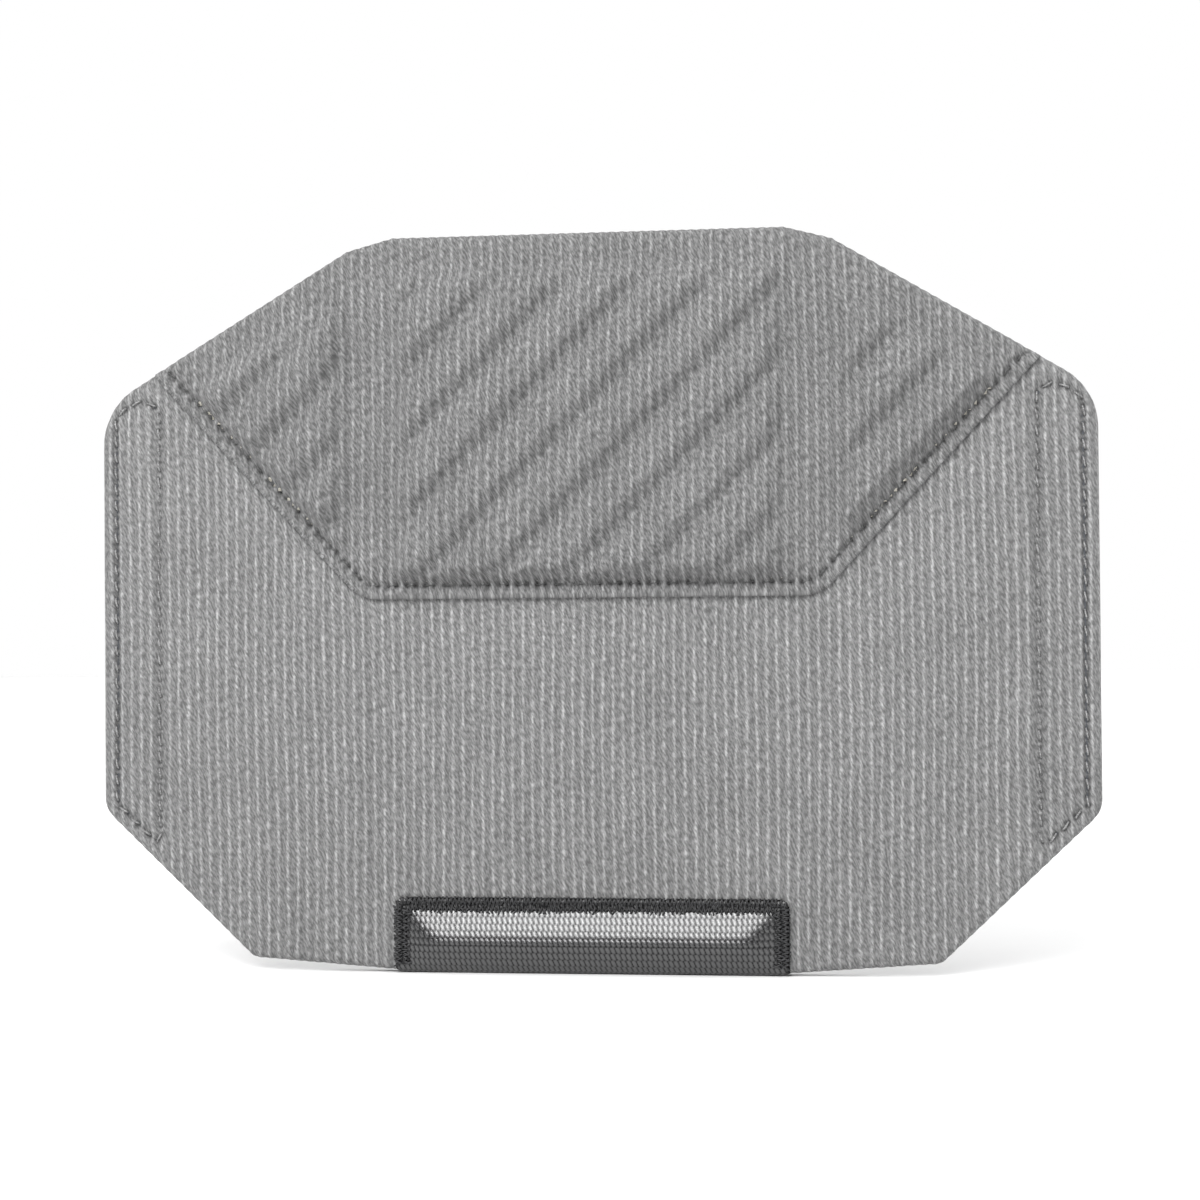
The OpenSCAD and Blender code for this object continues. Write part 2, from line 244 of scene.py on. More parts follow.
@dataclass(frozen=True)
class Layout:
    """Sizes of the protector, the same as in the frame, in metres.

    Attributes:
        width: Width of the panel.
        height: Height of the panel.
        centre_width: Distance between the two folds.
        shoulder_drop: How far a shoulder corner lies below the top edge.
        bevel_width: Width of the small bevel between the top edge and a shoulder's slanted edge.
        bevel_drop: Height of that bevel.
        cut_width: Width of a lower corner's cut.
        cut_height: Height of that cut.
        hem_rise: How far the bottom edge rises towards the cut.
        face: Depth of the panel's outer face in front of its rear face.
        cover: Depth of the flat yoke's outer face.
        pad: Height of the pads above the flat yoke.
        yoke_height: Distance of the yoke's lower edge from the top edge.
        yoke_angle: Rise of the yoke's slanted edges.
        yoke_lap: How far the yoke's lower corners lie outside the folds.
        yoke_reach: How far the yoke's outline reaches beyond its corners.
        yoke_round: Radius of the yoke's lower corners.
        strip: Width of the strip without padding at a fold.
        pad_slope: Width of a pad's slope along the free edge.
        pad_side_slope: Width of a pad's slope along a fold.
        pad_top_slope: Width of a pad's slope along the top.
        pad_hem: Distance of the pads from the panel's edge.
        pad_lip: Distance of the pads from the yoke's free edge.
        tape_width: Width of a hook tape.
        tape_margin: Distance of a tape from the panel's edge.
        tape_corner: Width of the slanted corner at a tape's top.
        grip_clear: Distance of the grip's ends from the folds.
        grip_height: Height of the grip's front.
        grip_rear: Height of the grip's rear flap.
        ribbon: Thickness of the ribbon.
    """

    width: float = 0.302
    height: float = 0.222
    centre_width: float = 0.133
    shoulder_drop: float = 0.050
    bevel_width: float = 0.014
    bevel_drop: float = 0.0037
    cut_width: float = 0.047
    cut_height: float = 0.045
    hem_rise: float = 0.0032
    face: float = 0.007
    cover: float = 0.0082
    pad: float = 0.0055
    yoke_height: float = 0.110
    yoke_angle: float = math.radians(47)
    yoke_lap: float = 0.003
    yoke_reach: float = 0.3
    yoke_round: float = 0.013
    strip: float = 0.0125
    pad_slope: float = 0.005
    pad_side_slope: float = 0.008
    pad_top_slope: float = 0.008
    pad_hem: float = 0.009
    pad_lip: float = 0.0048
    tape_width: float = 0.016
    tape_margin: float = 0.0032
    tape_corner: float = 0.0075
    grip_clear: float = 0.007
    grip_height: float = 0.022
    grip_rear: float = 0.012
    ribbon: float = 0.0008

    @property
    def top(self) -> float:
        """Height of the top edge."""
        return self.height / 2

    @property
    def bottom(self) -> float:
        """Height of the bottom edge."""
        return -self.height / 2

    @property
    def fold(self) -> float:
        """Distance of a fold from the middle."""
        return self.centre_width / 2

    @property
    def grip_half(self) -> float:
        """Half the width of the grip."""
        return self.fold - self.grip_clear

    @property
    def shoulder(self) -> Array:
        """The shoulder corner on the right."""
        return np.array([self.width / 2, self.top - self.shoulder_drop])

    @property
    def chamfer(self) -> Array:
        """Direction of the slanted edge above the shoulder, towards the top."""
        low = np.array([self.fold + self.bevel_width / 2, self.top - self.bevel_drop])
        return (low - self.shoulder) / np.linalg.norm(low - self.shoulder)

    @property
    def slant(self) -> Array:
        """Direction of the yoke's slanted edge on the right, towards its tip."""
        return np.array([math.cos(self.yoke_angle), math.sin(self.yoke_angle)])

    @property
    def yoke_corner(self) -> Array:
        """Lower corner of the yoke on the right."""
        return np.array([self.fold + self.yoke_lap, self.top - self.yoke_height])

    def panel(self, distance: float = 0.0) -> Outline:
        """Outline of the panel.

        Args:
            distance: How far it is moved inwards.

        Returns:
            The outline with its rounded corners.
        """
        half, fold, bevel = self.width / 2, self.fold, self.bevel_width / 2
        right = [
            (self.grip_half + 0.0015, self.bottom),
            (half - self.cut_width, self.bottom + self.hem_rise),
            (half, self.bottom + self.hem_rise + self.cut_height),
            (half, self.top - self.shoulder_drop),
            (fold + bevel, self.top - self.bevel_drop),
            (fold - bevel, self.top),
        ]
        radii = [0.003, 0.005, 0.009, 0.020, 0.003, 0.003]
        corners = right + [(-x, z) for x, z in reversed(right)]
        both = [max(r - distance, 0.0) for r in radii + radii[::-1]]
        return Outline(corners).inset(distance).rounded(both)

    def yoke(self, distance: float = 0.0) -> Outline:
        """Outline of the yoke: its free edge, and sides that reach far above and beside the panel.

        Args:
            distance: How far it is moved inwards.

        Returns:
            The outline with rounded lower corners.
        """
        x, z = self.yoke_corner
        far = self.yoke_reach
        beside = x + far * self.slant[0]
        right = [(x, z), (beside, z + far * self.slant[1]), (beside, z + 2 * far)]
        corners = right + [(-a, b) for a, b in reversed(right)]
        radius = max(self.yoke_round - distance, 0.001)
        return Outline(corners).inset(distance).rounded([radius, 0, 0, 0, 0, radius])

    def pad_sides(self, key: int) -> list[tuple[Array, Array, float]]:
        """The sides of a pad's foot.

        Args:
            key: -1 for the left wing, 0 for the centre and 1 for the right wing.

        Returns:
            For each side a point on it, the direction into the pad and the width of the slope there.
        """
        low, high = self.yoke_corner[1] + self.pad_lip, self.top - self.pad_hem
        if key == 0:
            side = self.fold - self.strip / 2
            return [
                (np.array([-side, 0.0]), np.array([1.0, 0.0]), self.pad_side_slope),
                (np.array([side, 0.0]), np.array([-1.0, 0.0]), self.pad_side_slope),
                (np.array([0.0, low]), np.array([0.0, 1.0]), self.pad_slope),
                (np.array([0.0, high]), np.array([0.0, -1.0]), self.pad_top_slope),
            ]
        into_slant, into_chamfer = LEFT_OF @ self.slant, LEFT_OF @ self.chamfer
        right = [
            (np.array([self.fold + self.strip / 2, 0.0]), np.array([1.0, 0.0]), self.pad_side_slope),
            (self.yoke_corner + into_slant * self.pad_lip, into_slant, self.pad_slope),
            (self.shoulder + into_chamfer * self.pad_hem, into_chamfer, self.pad_top_slope),
        ]
        turn = np.array([float(key), 1.0])
        return [(p * turn, n * turn, w) for p, n, w in right]

    def feet(self) -> dict[int, Outline]:
        """Feet of the three pads.

        Returns:
            The outline of each foot, with -1 for the left wing, 0 for the centre and 1 for the right wing.
        """
        side, x = self.fold - self.strip / 2, self.fold + self.strip / 2
        low, high = self.yoke_corner[1] + self.pad_lip, self.top - self.pad_hem
        on_slant = self.yoke_corner + LEFT_OF @ self.slant * self.pad_lip
        on_chamfer = self.shoulder + LEFT_OF @ self.chamfer * self.pad_hem
        wing = [
            line_meet([x, 0], [0, 1], on_slant, self.slant),
            line_meet(on_slant, self.slant, on_chamfer, self.chamfer),
            line_meet([x, 0], [0, 1], on_chamfer, self.chamfer),
        ]
        radii = [0.004, 0.006, 0.004]
        return {
            0: Outline([(-side, low), (side, low), (side, high), (-side, high)]).rounded([0.005] * 4),
            1: Outline(wing).rounded(radii),
            -1: Outline([(-x, z) for x, z in reversed(wing)]).rounded(radii[::-1]),
        }

    def tape(self, side: Side, distance: float = 0.0) -> Outline:
        """Outline of a hook tape.

        Args:
            side: The wing that it is on.
            distance: How far the outline is moved inwards.

        Returns:
            The outline with its rounded corners.
        """
        outer = self.width / 2 - self.tape_margin
        inner = outer - self.tape_width
        hem = np.array([self.width / 2 - self.cut_width, self.bottom + self.hem_rise])
        cut = np.array([self.cut_width, self.cut_height]) / math.hypot(self.cut_width, self.cut_height)
        low = hem + LEFT_OF @ cut * self.tape_margin
        high = self.shoulder + LEFT_OF @ self.chamfer * self.tape_margin
        top = line_meet([outer - self.tape_corner, 0], [0, 1], high, self.chamfer)
        corners = [
            line_meet([inner, 0], [0, 1], low, cut),
            line_meet([outer, 0], [0, 1], low, cut),
            line_meet([outer, 0], [0, 1], high, self.chamfer),
            top,
            [inner, top[1]],
        ]
        radii = [0.002, 0.002, 0.006, 0.005, 0.0055]
        if side is Side.LEFT:
            corners, radii = [[-x, z] for x, z in reversed(corners)], radii[::-1]
        return Outline(corners).inset(distance).rounded([max(r - distance / 2, 0.0015) for r in radii])


# --------------------------------------------------------------- small makers


def linear(hex_colour: str) -> tuple[float, float, float, float]:
    """Turns an sRGB hex colour into linear light.

    Args:
        hex_colour: Such as "#969696".

    Returns:
        Red, green, blue and alpha for a shader.
    """
    parts = [int(hex_colour[i : i + 2], 16) / 255 for i in (1, 3, 5)]
    r, g, b = (c / 12.92 if c <= 0.04045 else ((c + 0.055) / 1.055) ** 2.4 for c in parts)
    return r, g, b, 1.0


def add_node(
    material: bpy.types.Material, kind: str, settings: dict | None = None, **links: object
) -> bpy.types.Node:
    """Adds a node to a material with its settings and links.

    Args:
        material: The material that gets the node.
        kind: The node's type.
        settings: Attributes of the node, or values of its sockets by name or number.
        **links: For each input, the output socket that feeds it. An underscore stands for a space, and
            a leading i with a number picks an input by its place.

    Returns:
        The new node.
    """
    node = material.node_tree.nodes.new(kind)
    for name, value in (settings or {}).items():
        if isinstance(name, int) or name in node.inputs:
            node.inputs[name].default_value = value
        else:
            setattr(node, name, value)
    for name, source in links.items():
        key = int(name[1:]) if name[0] == "i" and name[1:].isdigit() else name.replace("_", " ")
        material.node_tree.links.new(source, node.inputs[key])
    return node


def piece_from(bm: bmesh.types.BMesh, name: str, shade_smooth: bool = True) -> bpy.types.Object:
    """Makes a piece of a finished bmesh.

    Args:
        bm: The mesh, which is freed.
        name: The piece's name.
        shade_smooth: Whether its faces are shaded smooth.

    Returns:
        The piece, at the origin.
    """
    mesh = bpy.data.meshes.new(name)
    bm.to_mesh(mesh)
    bm.free()
    mesh.polygons.foreach_set("use_smooth", np.full(len(mesh.polygons), shade_smooth))
    piece = bpy.data.objects.new(name, mesh)
    bpy.context.scene.collection.objects.link(piece)
    return piece


def points_of(mesh: bpy.types.Mesh) -> Array:
    """The mesh's points as rows of (x, y, z)."""
    flat = np.empty(len(mesh.vertices) * 3, np.float32)
    mesh.vertices.foreach_get("co", flat)
    return flat.reshape(-1, 3).astype(float)


def set_points(mesh: bpy.types.Mesh, points: Array) -> None:
    """Moves the mesh's points to the rows of (x, y, z)."""
    mesh.vertices.foreach_set("co", points.astype(np.float32).ravel())
    mesh.update()


def set_value(mesh: bpy.types.Mesh, name: str, values: Array) -> None:
    """Stores a number for each point of the mesh."""
    layer = mesh.attributes.new(name, "FLOAT", "POINT")
    layer.data.foreach_set("value", values.astype(np.float32))


def set_uv(mesh: bpy.types.Mesh, name: str, flat: Array) -> None:
    """Stores the flat place of each point, in metres, as a UV map.

    Args:
        mesh: The mesh.
        name: The UV map's name.
        flat: A row of two numbers for each point.
    """
    index = np.empty(len(mesh.loops), np.int32)
    mesh.loops.foreach_get("vertex_index", index)
    mesh.uv_layers.new(name=name).data.foreach_set("uv", flat[index].astype(np.float32).ravel())


def flat_grid(
    low: tuple[float, float], high: tuple[float, float], cells: tuple[int, int]
) -> bmesh.types.BMesh:
    """Makes a flat grid that stands in the plane of the panel and faces the front.

    Args:
        low: Lowest (x, z).
        high: Highest (x, z).
        cells: Number of cells across and up.

    Returns:
        The grid.
    """
    bm = bmesh.new()
    place = Matrix.Translation(((low[0] + high[0]) / 2, 0, (low[1] + high[1]) / 2))
    size = Matrix.Diagonal((high[0] - low[0], high[1] - low[1], 1, 1))
    stand = Matrix.Rotation(math.pi / 2, 4, "X")
    laid = place @ stand @ size
    bmesh.ops.create_grid(bm, x_segments=cells[0], y_segments=cells[1], size=0.5, matrix=laid)
    return bm


def cut_out(bm: bmesh.types.BMesh, outside: Callable[[Array], Array]) -> None:
    """Removes the faces of a flat grid whose middle lies outside.

    Args:
        bm: The grid.
        outside: Gives for each (x, z) whether it is outside.
    """
    bm.faces.ensure_lookup_table()
    middles = np.array([tuple(f.calc_center_median())[::2] for f in bm.faces])
    gone = outside(middles)
    bmesh.ops.delete(bm, geom=[f for f, g in zip(bm.faces, gone) if g], context="FACES")


@dataclass(frozen=True)
class Stitch:
    """One visible stitch: a thread that comes up, lies on the cloth in a low arch, and goes down again.

    Attributes:
        length: Length on the cloth.
        radius: Radius of the thread.
        rise: Height of the arch.
        lean: How far each stitch is turned away from its row.
    """

    length: float = 0.0026
    radius: float = 0.00027
    rise: float = 0.00055
    lean: float = math.radians(9)

    def pattern(self) -> bpy.types.Mesh:
        """One stitch along X that arches towards -Y.

        Returns:
            A mesh that is used for every stitch of a row.
        """
        bm = bmesh.new()
        chord, rise = self.length, self.rise
        radius = (chord**2 / 4 + rise**2) / (2 * rise)
        half = math.asin(chord / 2 / radius)
        start = Matrix.Translation((-chord / 2, 0, 0)) @ Matrix.Rotation(-half, 4, "Z")
        tip = start @ Matrix.Rotation(math.pi / 2, 4, "Y")
        ring = bmesh.ops.create_circle(bm, segments=6, radius=self.radius, matrix=tip)
        edges = list({e for v in ring["verts"] for e in v.link_edges})
        bent = ring["verts"] + edges
        middle = (0, radius - rise, 0)
        bmesh.ops.spin(bm, geom=bent, cent=middle, axis=(0, 0, 1), angle=2 * half, steps=5)
        bmesh.ops.holes_fill(bm, edges=[e for e in bm.edges if e.is_boundary], sides=6)
        bmesh.ops.recalc_face_normals(bm, faces=bm.faces)
        mesh = bpy.data.meshes.new("stitch_pattern")
        bm.to_mesh(mesh)
        bm.free()
        return mesh

    def sewn(self, name: str, places: Iterable[tuple[Vector, Vector, Vector]]) -> bpy.types.Object:
        """Sews a stitch at each place.

        Args:
            name: The piece's name.
            places: For each stitch its middle, its direction and the outward direction of the cloth.

        Returns:
            All the stitches as one piece.
        """
        pattern, bm, start = self.pattern(), bmesh.new(), 0
        for middle, run, out in places:
            bm.from_mesh(pattern)
            bm.verts.ensure_lookup_table()
            run = (Matrix.Rotation(self.lean, 3, out) @ run).normalized()
            side = out.cross(run).normalized()
            axes = Matrix((run, -out, -side)).transposed()
            if axes.determinant() < 0:
                axes = Matrix((run, -out, side)).transposed()
            place = Matrix.Translation(middle) @ axes.to_4x4()
            bmesh.ops.transform(bm, matrix=place, verts=bm.verts[start:])
            start = len(bm.verts)
        bpy.data.meshes.remove(pattern)
        return piece_from(bm, name)


def walk(points: Array, pitch: float, closed: bool = False) -> tuple[Array, Array]:
    """Places evenly along a line of points.

    Args:
        points: The line's points as rows of (x, z).
        pitch: Wanted distance between two places.
        closed: Whether the line goes back to its start.

    Returns:
        The places and the line's direction at each.
    """
    line = np.vstack([points, points[:1]]) if closed else points
    step = np.linalg.norm(np.diff(line, axis=0), axis=1)
    along = np.concatenate([[0], np.cumsum(step)])
    count = max(round(along[-1] / pitch), 1)
    at = np.linspace(0, along[-1], count + 1)
    at = at[:-1] if closed else at
    # The line's direction is measured between two points this far before and behind a place
    near = 0.0006

    def on_line(lengths: Array) -> Array:
        """The points at these lengths along the line."""
        return np.stack([np.interp(lengths, along, line[:, k]) for k in range(2)], 1)

    run = on_line(np.minimum(at + near, along[-1])) - on_line(np.maximum(at - near, 0))
    return on_line(at), run / np.linalg.norm(run, axis=1)[:, None]


def stitch_places(
    places: Array, run: Array, depth: Array | float, out: Vector
) -> list[tuple[Vector, Vector, Vector]]:
    """Gives the places of a row the form that stitches are sewn from.

    Args:
        places: The stitches' middles as rows of (x, z).
        run: Their directions.
        depth: Where they lie along Y, for each or for all.
        out: The outward direction of the cloth.

    Returns:
        For each stitch its middle, its direction and the outward direction of the cloth.
    """
    lying = np.broadcast_to(depth, len(places))
    return [
        (Vector((p[0], y, p[1])), Vector((r[0], 0, r[1])), out) for p, r, y in zip(places, run, lying)
    ]


# ---------------------------------------------------------------- the finishes


def new_material(name: str, roughness: float) -> bpy.types.Material:
    """Makes a material with only its main shader.

    Args:
        name: The material's name.
        roughness: How matte it is.

    Returns:
        The material.
    """
    mat = bpy.data.materials.new(name)
    mat.use_nodes = True
    main_shader(mat).inputs["Roughness"].default_value = roughness
    return mat


def main_shader(material: bpy.types.Material) -> bpy.types.Node:
    """The material's main shader."""
    return material.node_tree.nodes["Principled BSDF"]


def feed(material: bpy.types.Material, **sources: bpy.types.NodeSocket) -> None:
    """Feeds inputs of the material's main shader.

    Args:
        material: The material.
        **sources: For each input, the socket that feeds it. An underscore stands for a space.
    """
    for name, source in sources.items():
        material.node_tree.links.new(source, main_shader(material).inputs[name.replace("_", " ")])


def flat_noise(
    material: bpy.types.Material, flat: bpy.types.NodeSocket, cells: tuple[float, float], detail: float
) -> bpy.types.NodeSocket:
    """Adds noise over a flat map.

    Args:
        material: The material.
        flat: Gives the flat place, in metres.
        cells: Number of cells in a metre, across and along.
        detail: How fine its detail is.

    Returns:
        The noise.
    """
    cell = add_node(material, "ShaderNodeMapping", {"Scale": (*cells, 1)}, Vector=flat).outputs[0]
    settings = {"noise_dimensions": "2D", "Scale": 1.0, "Detail": detail}
    return add_node(material, "ShaderNodeTexNoise", settings, Vector=cell).outputs["Fac"]


def product(
    material: bpy.types.Material, first: bpy.types.NodeSocket, second: bpy.types.NodeSocket
) -> bpy.types.NodeSocket:
    """Multiplies two values in a material."""
    return add_node(material, "ShaderNodeMath", {"operation": "MULTIPLY"}, i0=first, i1=second).outputs[0]


def spread_to(
    material: bpy.types.Material, value: bpy.types.NodeSocket, low: float, high: float
) -> bpy.types.NodeSocket:
    """Spreads a value from 0 to 1 over the range from low to high."""
    settings = {"To Min": low, "To Max": high}
    return add_node(material, "ShaderNodeMapRange", settings, Value=value).outputs[0]


def tones(
    material: bpy.types.Material, value: bpy.types.NodeSocket, marks: dict[float, str]
) -> bpy.types.NodeSocket:
    """Turns a value into a colour between marks.

    Args:
        material: The material.
        value: The value, from 0 to 1.
        marks: A colour for each marked value, in rising order.

    Returns:
        The colour.
    """
    ramp = add_node(material, "ShaderNodeValToRGB", None, Fac=value)
    elements = ramp.color_ramp.elements
    (low, first), *between, (high, last) = marks.items()
    elements[0].position, elements[0].color = low, linear(first)
    elements[1].position, elements[1].color = high, linear(last)
    for place, colour in between:
        elements.new(place).color = linear(colour)
    return ramp.outputs["Color"]


def bumped(
    material: bpy.types.Material, height: bpy.types.NodeSocket, strength: float, distance: float
) -> bpy.types.NodeSocket:
    """Turns a height into a bumped normal of a strength over a distance in metres."""
    settings = {"Strength": strength, "Distance": distance}
    return add_node(material, "ShaderNodeBump", settings, Height=height).outputs[0]


@dataclass(frozen=True)
class RibKnit:
    """Ribbed heather knit of textured polyester: matte, with painted shade in the rib valleys, lighter
    painted crests, and leaning flecks.

    Attributes:
        name: The material's name.
        tone: Middle colour of the yarn.
        dark: Colour of the dark flecks; the valleys are darkened by the painted rib shade instead.
        light: Colour of the light flecks.
        wale: How much lighter a rib's crest is painted than its valley: painted shade in the valleys.
        fleck: Width and length of a fleck, in millimetres.
        lean: Lean of the flecks.
    """

    name: str = "rib_knit_heather_polyester"
    tone: str = "#727272"
    dark: str = "#5d5d5d"
    light: str = "#868686"
    wale: float = 1.66
    fleck: tuple[float, float] = (0.34, 1.15)
    lean: float = math.radians(24)

    def material(self) -> bpy.types.Material:
        """Builds the material, which reads the cloth's flat UV map and its rib and hole values.

        Returns:
            The material.
        """
        mat = new_material(self.name, roughness=0.88)
        shader = main_shader(mat)
        shader.inputs["Specular IOR Level"].default_value = 0.3
        shader.inputs["Sheen Weight"].default_value = 0.12
        shader.inputs["Sheen Roughness"].default_value = 0.45
        flat = add_node(mat, "ShaderNodeUVMap", {"uv_map": "cloth"}).outputs[0]
        turned = add_node(mat, "ShaderNodeMapping", {"Rotation": (0, 0, -self.lean)}, Vector=flat).outputs[0]
        fleck = self.flecks(mat, turned)
        fine = flat_noise(mat, turned, (3600, 1100), detail=2.0)
        yarn = tones(mat, fleck, {0.33: self.dark, 0.50: self.tone, 0.68: self.light})
        shade = self.shading(mat, flat, fine)
        scaled = {"operation": "SCALE"}
        colour = add_node(mat, "ShaderNodeVectorMath", scaled, i0=yarn, Scale=shade).outputs[0]
        raised = {"operation": "MULTIPLY_ADD", 1: 0.6}
        relief = add_node(mat, "ShaderNodeMath", raised, i0=fleck, i2=fine).outputs[0]
        feed(mat, Base_Color=colour, Normal=bumped(mat, relief, 0.55, 0.0005))
        return mat

    def flecks(self, mat: bpy.types.Material, turned: bpy.types.NodeSocket) -> bpy.types.NodeSocket:
        """Noise whose cells are one fleck of yarn each, over the leaning flat map."""
        scale = (1000 / self.fleck[0], 1000 / self.fleck[1], 1)
        cell = add_node(mat, "ShaderNodeMapping", {"Scale": scale}, Vector=turned).outputs[0]
        settings = {"noise_dimensions": "2D", "Scale": 0.62, "Detail": 1.5, "Roughness": 0.6}
        return add_node(mat, "ShaderNodeTexNoise", settings, Vector=cell).outputs["Fac"]

    def shading(
        self, mat: bpy.types.Material, flat: bpy.types.NodeSocket, fine: bpy.types.NodeSocket
    ) -> bpy.types.NodeSocket:
        """How bright the yarn is: painted shade in the rib valleys with lighter crests beaded by their loops,
        soft clouds, fine grain and painted shadow in the needle holes.

        Args:
            mat: The material.
            flat: The cloth's flat UV map.
            fine: The fine grain.

        Returns:
            The factor for the yarn's colour.
        """
        rib = add_node(mat, "ShaderNodeAttribute", {"attribute_name": "rib"}).outputs["Fac"]
        hole = add_node(mat, "ShaderNodeAttribute", {"attribute_name": "hole"}).outputs["Fac"]
        narrow = add_node(mat, "ShaderNodeMath", {"operation": "POWER", 1: 5.0}, i0=rib).outputs[0]
        loop = flat_noise(mat, flat, (330, 520), detail=2.0)
        stretch = {"From Min": 0.3, "From Max": 0.7, "To Min": 0.45, "To Max": 1.1}
        beads = add_node(mat, "ShaderNodeMapRange", stretch, Value=loop).outputs[0]
        # Painted shade: rib valleys darker and crests lighter, from the rib height
        crest = spread_to(mat, product(mat, narrow, beads), 0.9, self.wale)
        cloud = spread_to(mat, flat_noise(mat, flat, (70, 45), detail=3.0), 0.86, 1.14)
        shade = product(mat, crest, cloud)
        shade = product(mat, shade, spread_to(mat, fine, 0.8, 1.2))
        # Painted shadow in the needle holes
        return product(mat, shade, spread_to(mat, hole, 1.0, 0.28))


@dataclass(frozen=True)
class Yarn:
    """Twisted thread or ribbon yarn, with short light streaks painted in as highlights where filaments would
    catch the light.

    Attributes:
        name: The material's name.
        colour: Colour of the yarn.
        pale: Colour of the painted highlight streaks, where the twist turns up.
        roughness: How matte the filaments are.
        twist: Length of the streaks, in millimetres.
        gloss: Specular level.
    """

    name: str
    colour: str
    pale: str
    roughness: float
    twist: float = 0.5
    gloss: float = 0.5

    def material(self) -> bpy.types.Material:
        """Builds the material, which reads Object coordinates.

        Returns:
            The material.
        """
        mat = new_material(self.name, self.roughness)
        main_shader(mat).inputs["Specular IOR Level"].default_value = self.gloss
        place = add_node(mat, "ShaderNodeTexCoord").outputs["Object"]
        settings = {"Scale": 1000 / self.twist, "Detail": 2.0, "Roughness": 0.6}
        noise = add_node(mat, "ShaderNodeTexNoise", settings, Vector=place).outputs["Fac"]
        # Painted highlight streaks over the yarn's colour
        colour = tones(mat, noise, {0.35: self.colour, 0.7: self.pale})
        feed(mat, Base_Color=colour, Normal=bumped(mat, noise, 0.4, 0.0002))
        return mat


@dataclass(frozen=True)
class Ribbon:
    """Coarse satin ribbon of bright nylon: nearly black, with the tops of its floats painted lighter as a
    painted highlight, and glossier there.

    Attributes:
        colour: Colour of the yarn.
        pale: Painted highlight colour on top of a float.
        roughness: How matte a float is.
    """

    colour: str = "#0c0c0d"
    pale: str = "#252527"
    roughness: float = 0.27

    def material(self) -> bpy.types.Material:
        """Builds the material, which reads the ribbon's float value and flat UV map.

        Returns:
            The material.
        """
        mat = new_material("satin_ribbon_nylon", self.roughness)
        main_shader(mat).inputs["IOR"].default_value = 1.58
        flat = add_node(mat, "ShaderNodeUVMap", {"uv_map": "cloth"}).outputs[0]
        rise = add_node(mat, "ShaderNodeAttribute", {"attribute_name": "rib"}).outputs["Fac"]
        filament = flat_noise(mat, flat, (9000, 1500), detail=2.0)
        both = {"operation": "MULTIPLY", "use_clamp": True}
        lit = add_node(mat, "ShaderNodeMath", both, i0=rise, i1=filament).outputs[0]
        # Painted highlight: float tops lighter, the gaps between floats darker
        colour = tones(mat, lit, {0.05: self.colour, 0.65: self.pale})
        stretch = {"From Min": 0.15, "From Max": 0.8, "To Min": 0.05, "To Max": 1.15}
        gloss = add_node(mat, "ShaderNodeMapRange", stretch, Value=rise).outputs[0]
        normal = bumped(mat, filament, 0.35, 0.0001)
        feed(mat, Specular_IOR_Level=gloss, Base_Color=colour, Normal=normal)
        return mat


class Pattern(Enum):
    """How the surface of a hidden or rear piece was made."""

    CELLS = "cells"
    MESH = "mesh"
    MOULDED = "moulded"


@dataclass(frozen=True)
class Plain:
    """A surface in one tone with a small pattern: foam, warp-knit lining or moulded plastic.

    Attributes:
        name: The material's name.
        colour: Main colour.
        deep: Colour painted in the pattern's holes as shade.
        roughness: How matte it is.
        pattern: How it was made.
        cell: Size of the pattern, in millimetres.
    """

    name: str
    colour: str
    deep: str
    roughness: float
    pattern: Pattern
    cell: float

    def material(self) -> bpy.types.Material:
        """Builds the material, which reads Object coordinates.

        Returns:
            The material.
        """
        mat = new_material(self.name, self.roughness)
        place = add_node(mat, "ShaderNodeTexCoord").outputs["Object"]
        scale = 1000 / self.cell
        if self.pattern is Pattern.MOULDED:
            grain = {"Scale": scale, "Detail": 4.0}
            height = add_node(mat, "ShaderNodeTexNoise", grain, Vector=place).outputs["Fac"]
        elif self.pattern is Pattern.CELLS:
            height = add_node(mat, "ShaderNodeTexVoronoi", {"Scale": scale}, Vector=place).outputs["Distance"]
        else:
            height = self.mesh_holes(mat, place, scale)
        # The pattern's low places are painted darker: painted shade in its holes
        colour = tones(mat, height, {0.1: self.deep, 0.6: self.colour})
        feed(mat, Base_Color=colour, Normal=bumped(mat, height, 0.5, 0.0003))
        return mat

    @staticmethod
    def mesh_holes(
        mat: bpy.types.Material, place: bpy.types.NodeSocket, scale: float
    ) -> bpy.types.NodeSocket:
        """Rows of round holes, each row shifted by half a hole: two waves that cross at 60 degrees.

        Args:
            mat: The material.
            place: Gives the place, in metres.
            scale: Number of holes in a metre.

        Returns:
            The height, which is low in the holes.
        """
        waves = []
        for turn in (math.radians(30), math.radians(-30)):
            turned = {"Rotation": (0, turn, 0), "Scale": (scale,) * 3}
            cell = add_node(mat, "ShaderNodeMapping", turned, Vector=place).outputs[0]
            x = add_node(mat, "ShaderNodeSeparateXYZ", None, Vector=cell).outputs[0]
            turns = add_node(mat, "ShaderNodeMath", {"operation": "MULTIPLY", 1: math.tau}, i0=x).outputs[0]
            waves.append(add_node(mat, "ShaderNodeMath", {"operation": "COSINE"}, i0=turns).outputs[0])
        both = add_node(mat, "ShaderNodeMath", {"operation": "ADD"}, i0=waves[0], i1=waves[1]).outputs[0]
        return add_node(mat, "ShaderNodeMapRange", {"From Min": -2.0, "From Max": 0.6}, Value=both).outputs[0]


# ------------------------------------------------------------------- the cloth


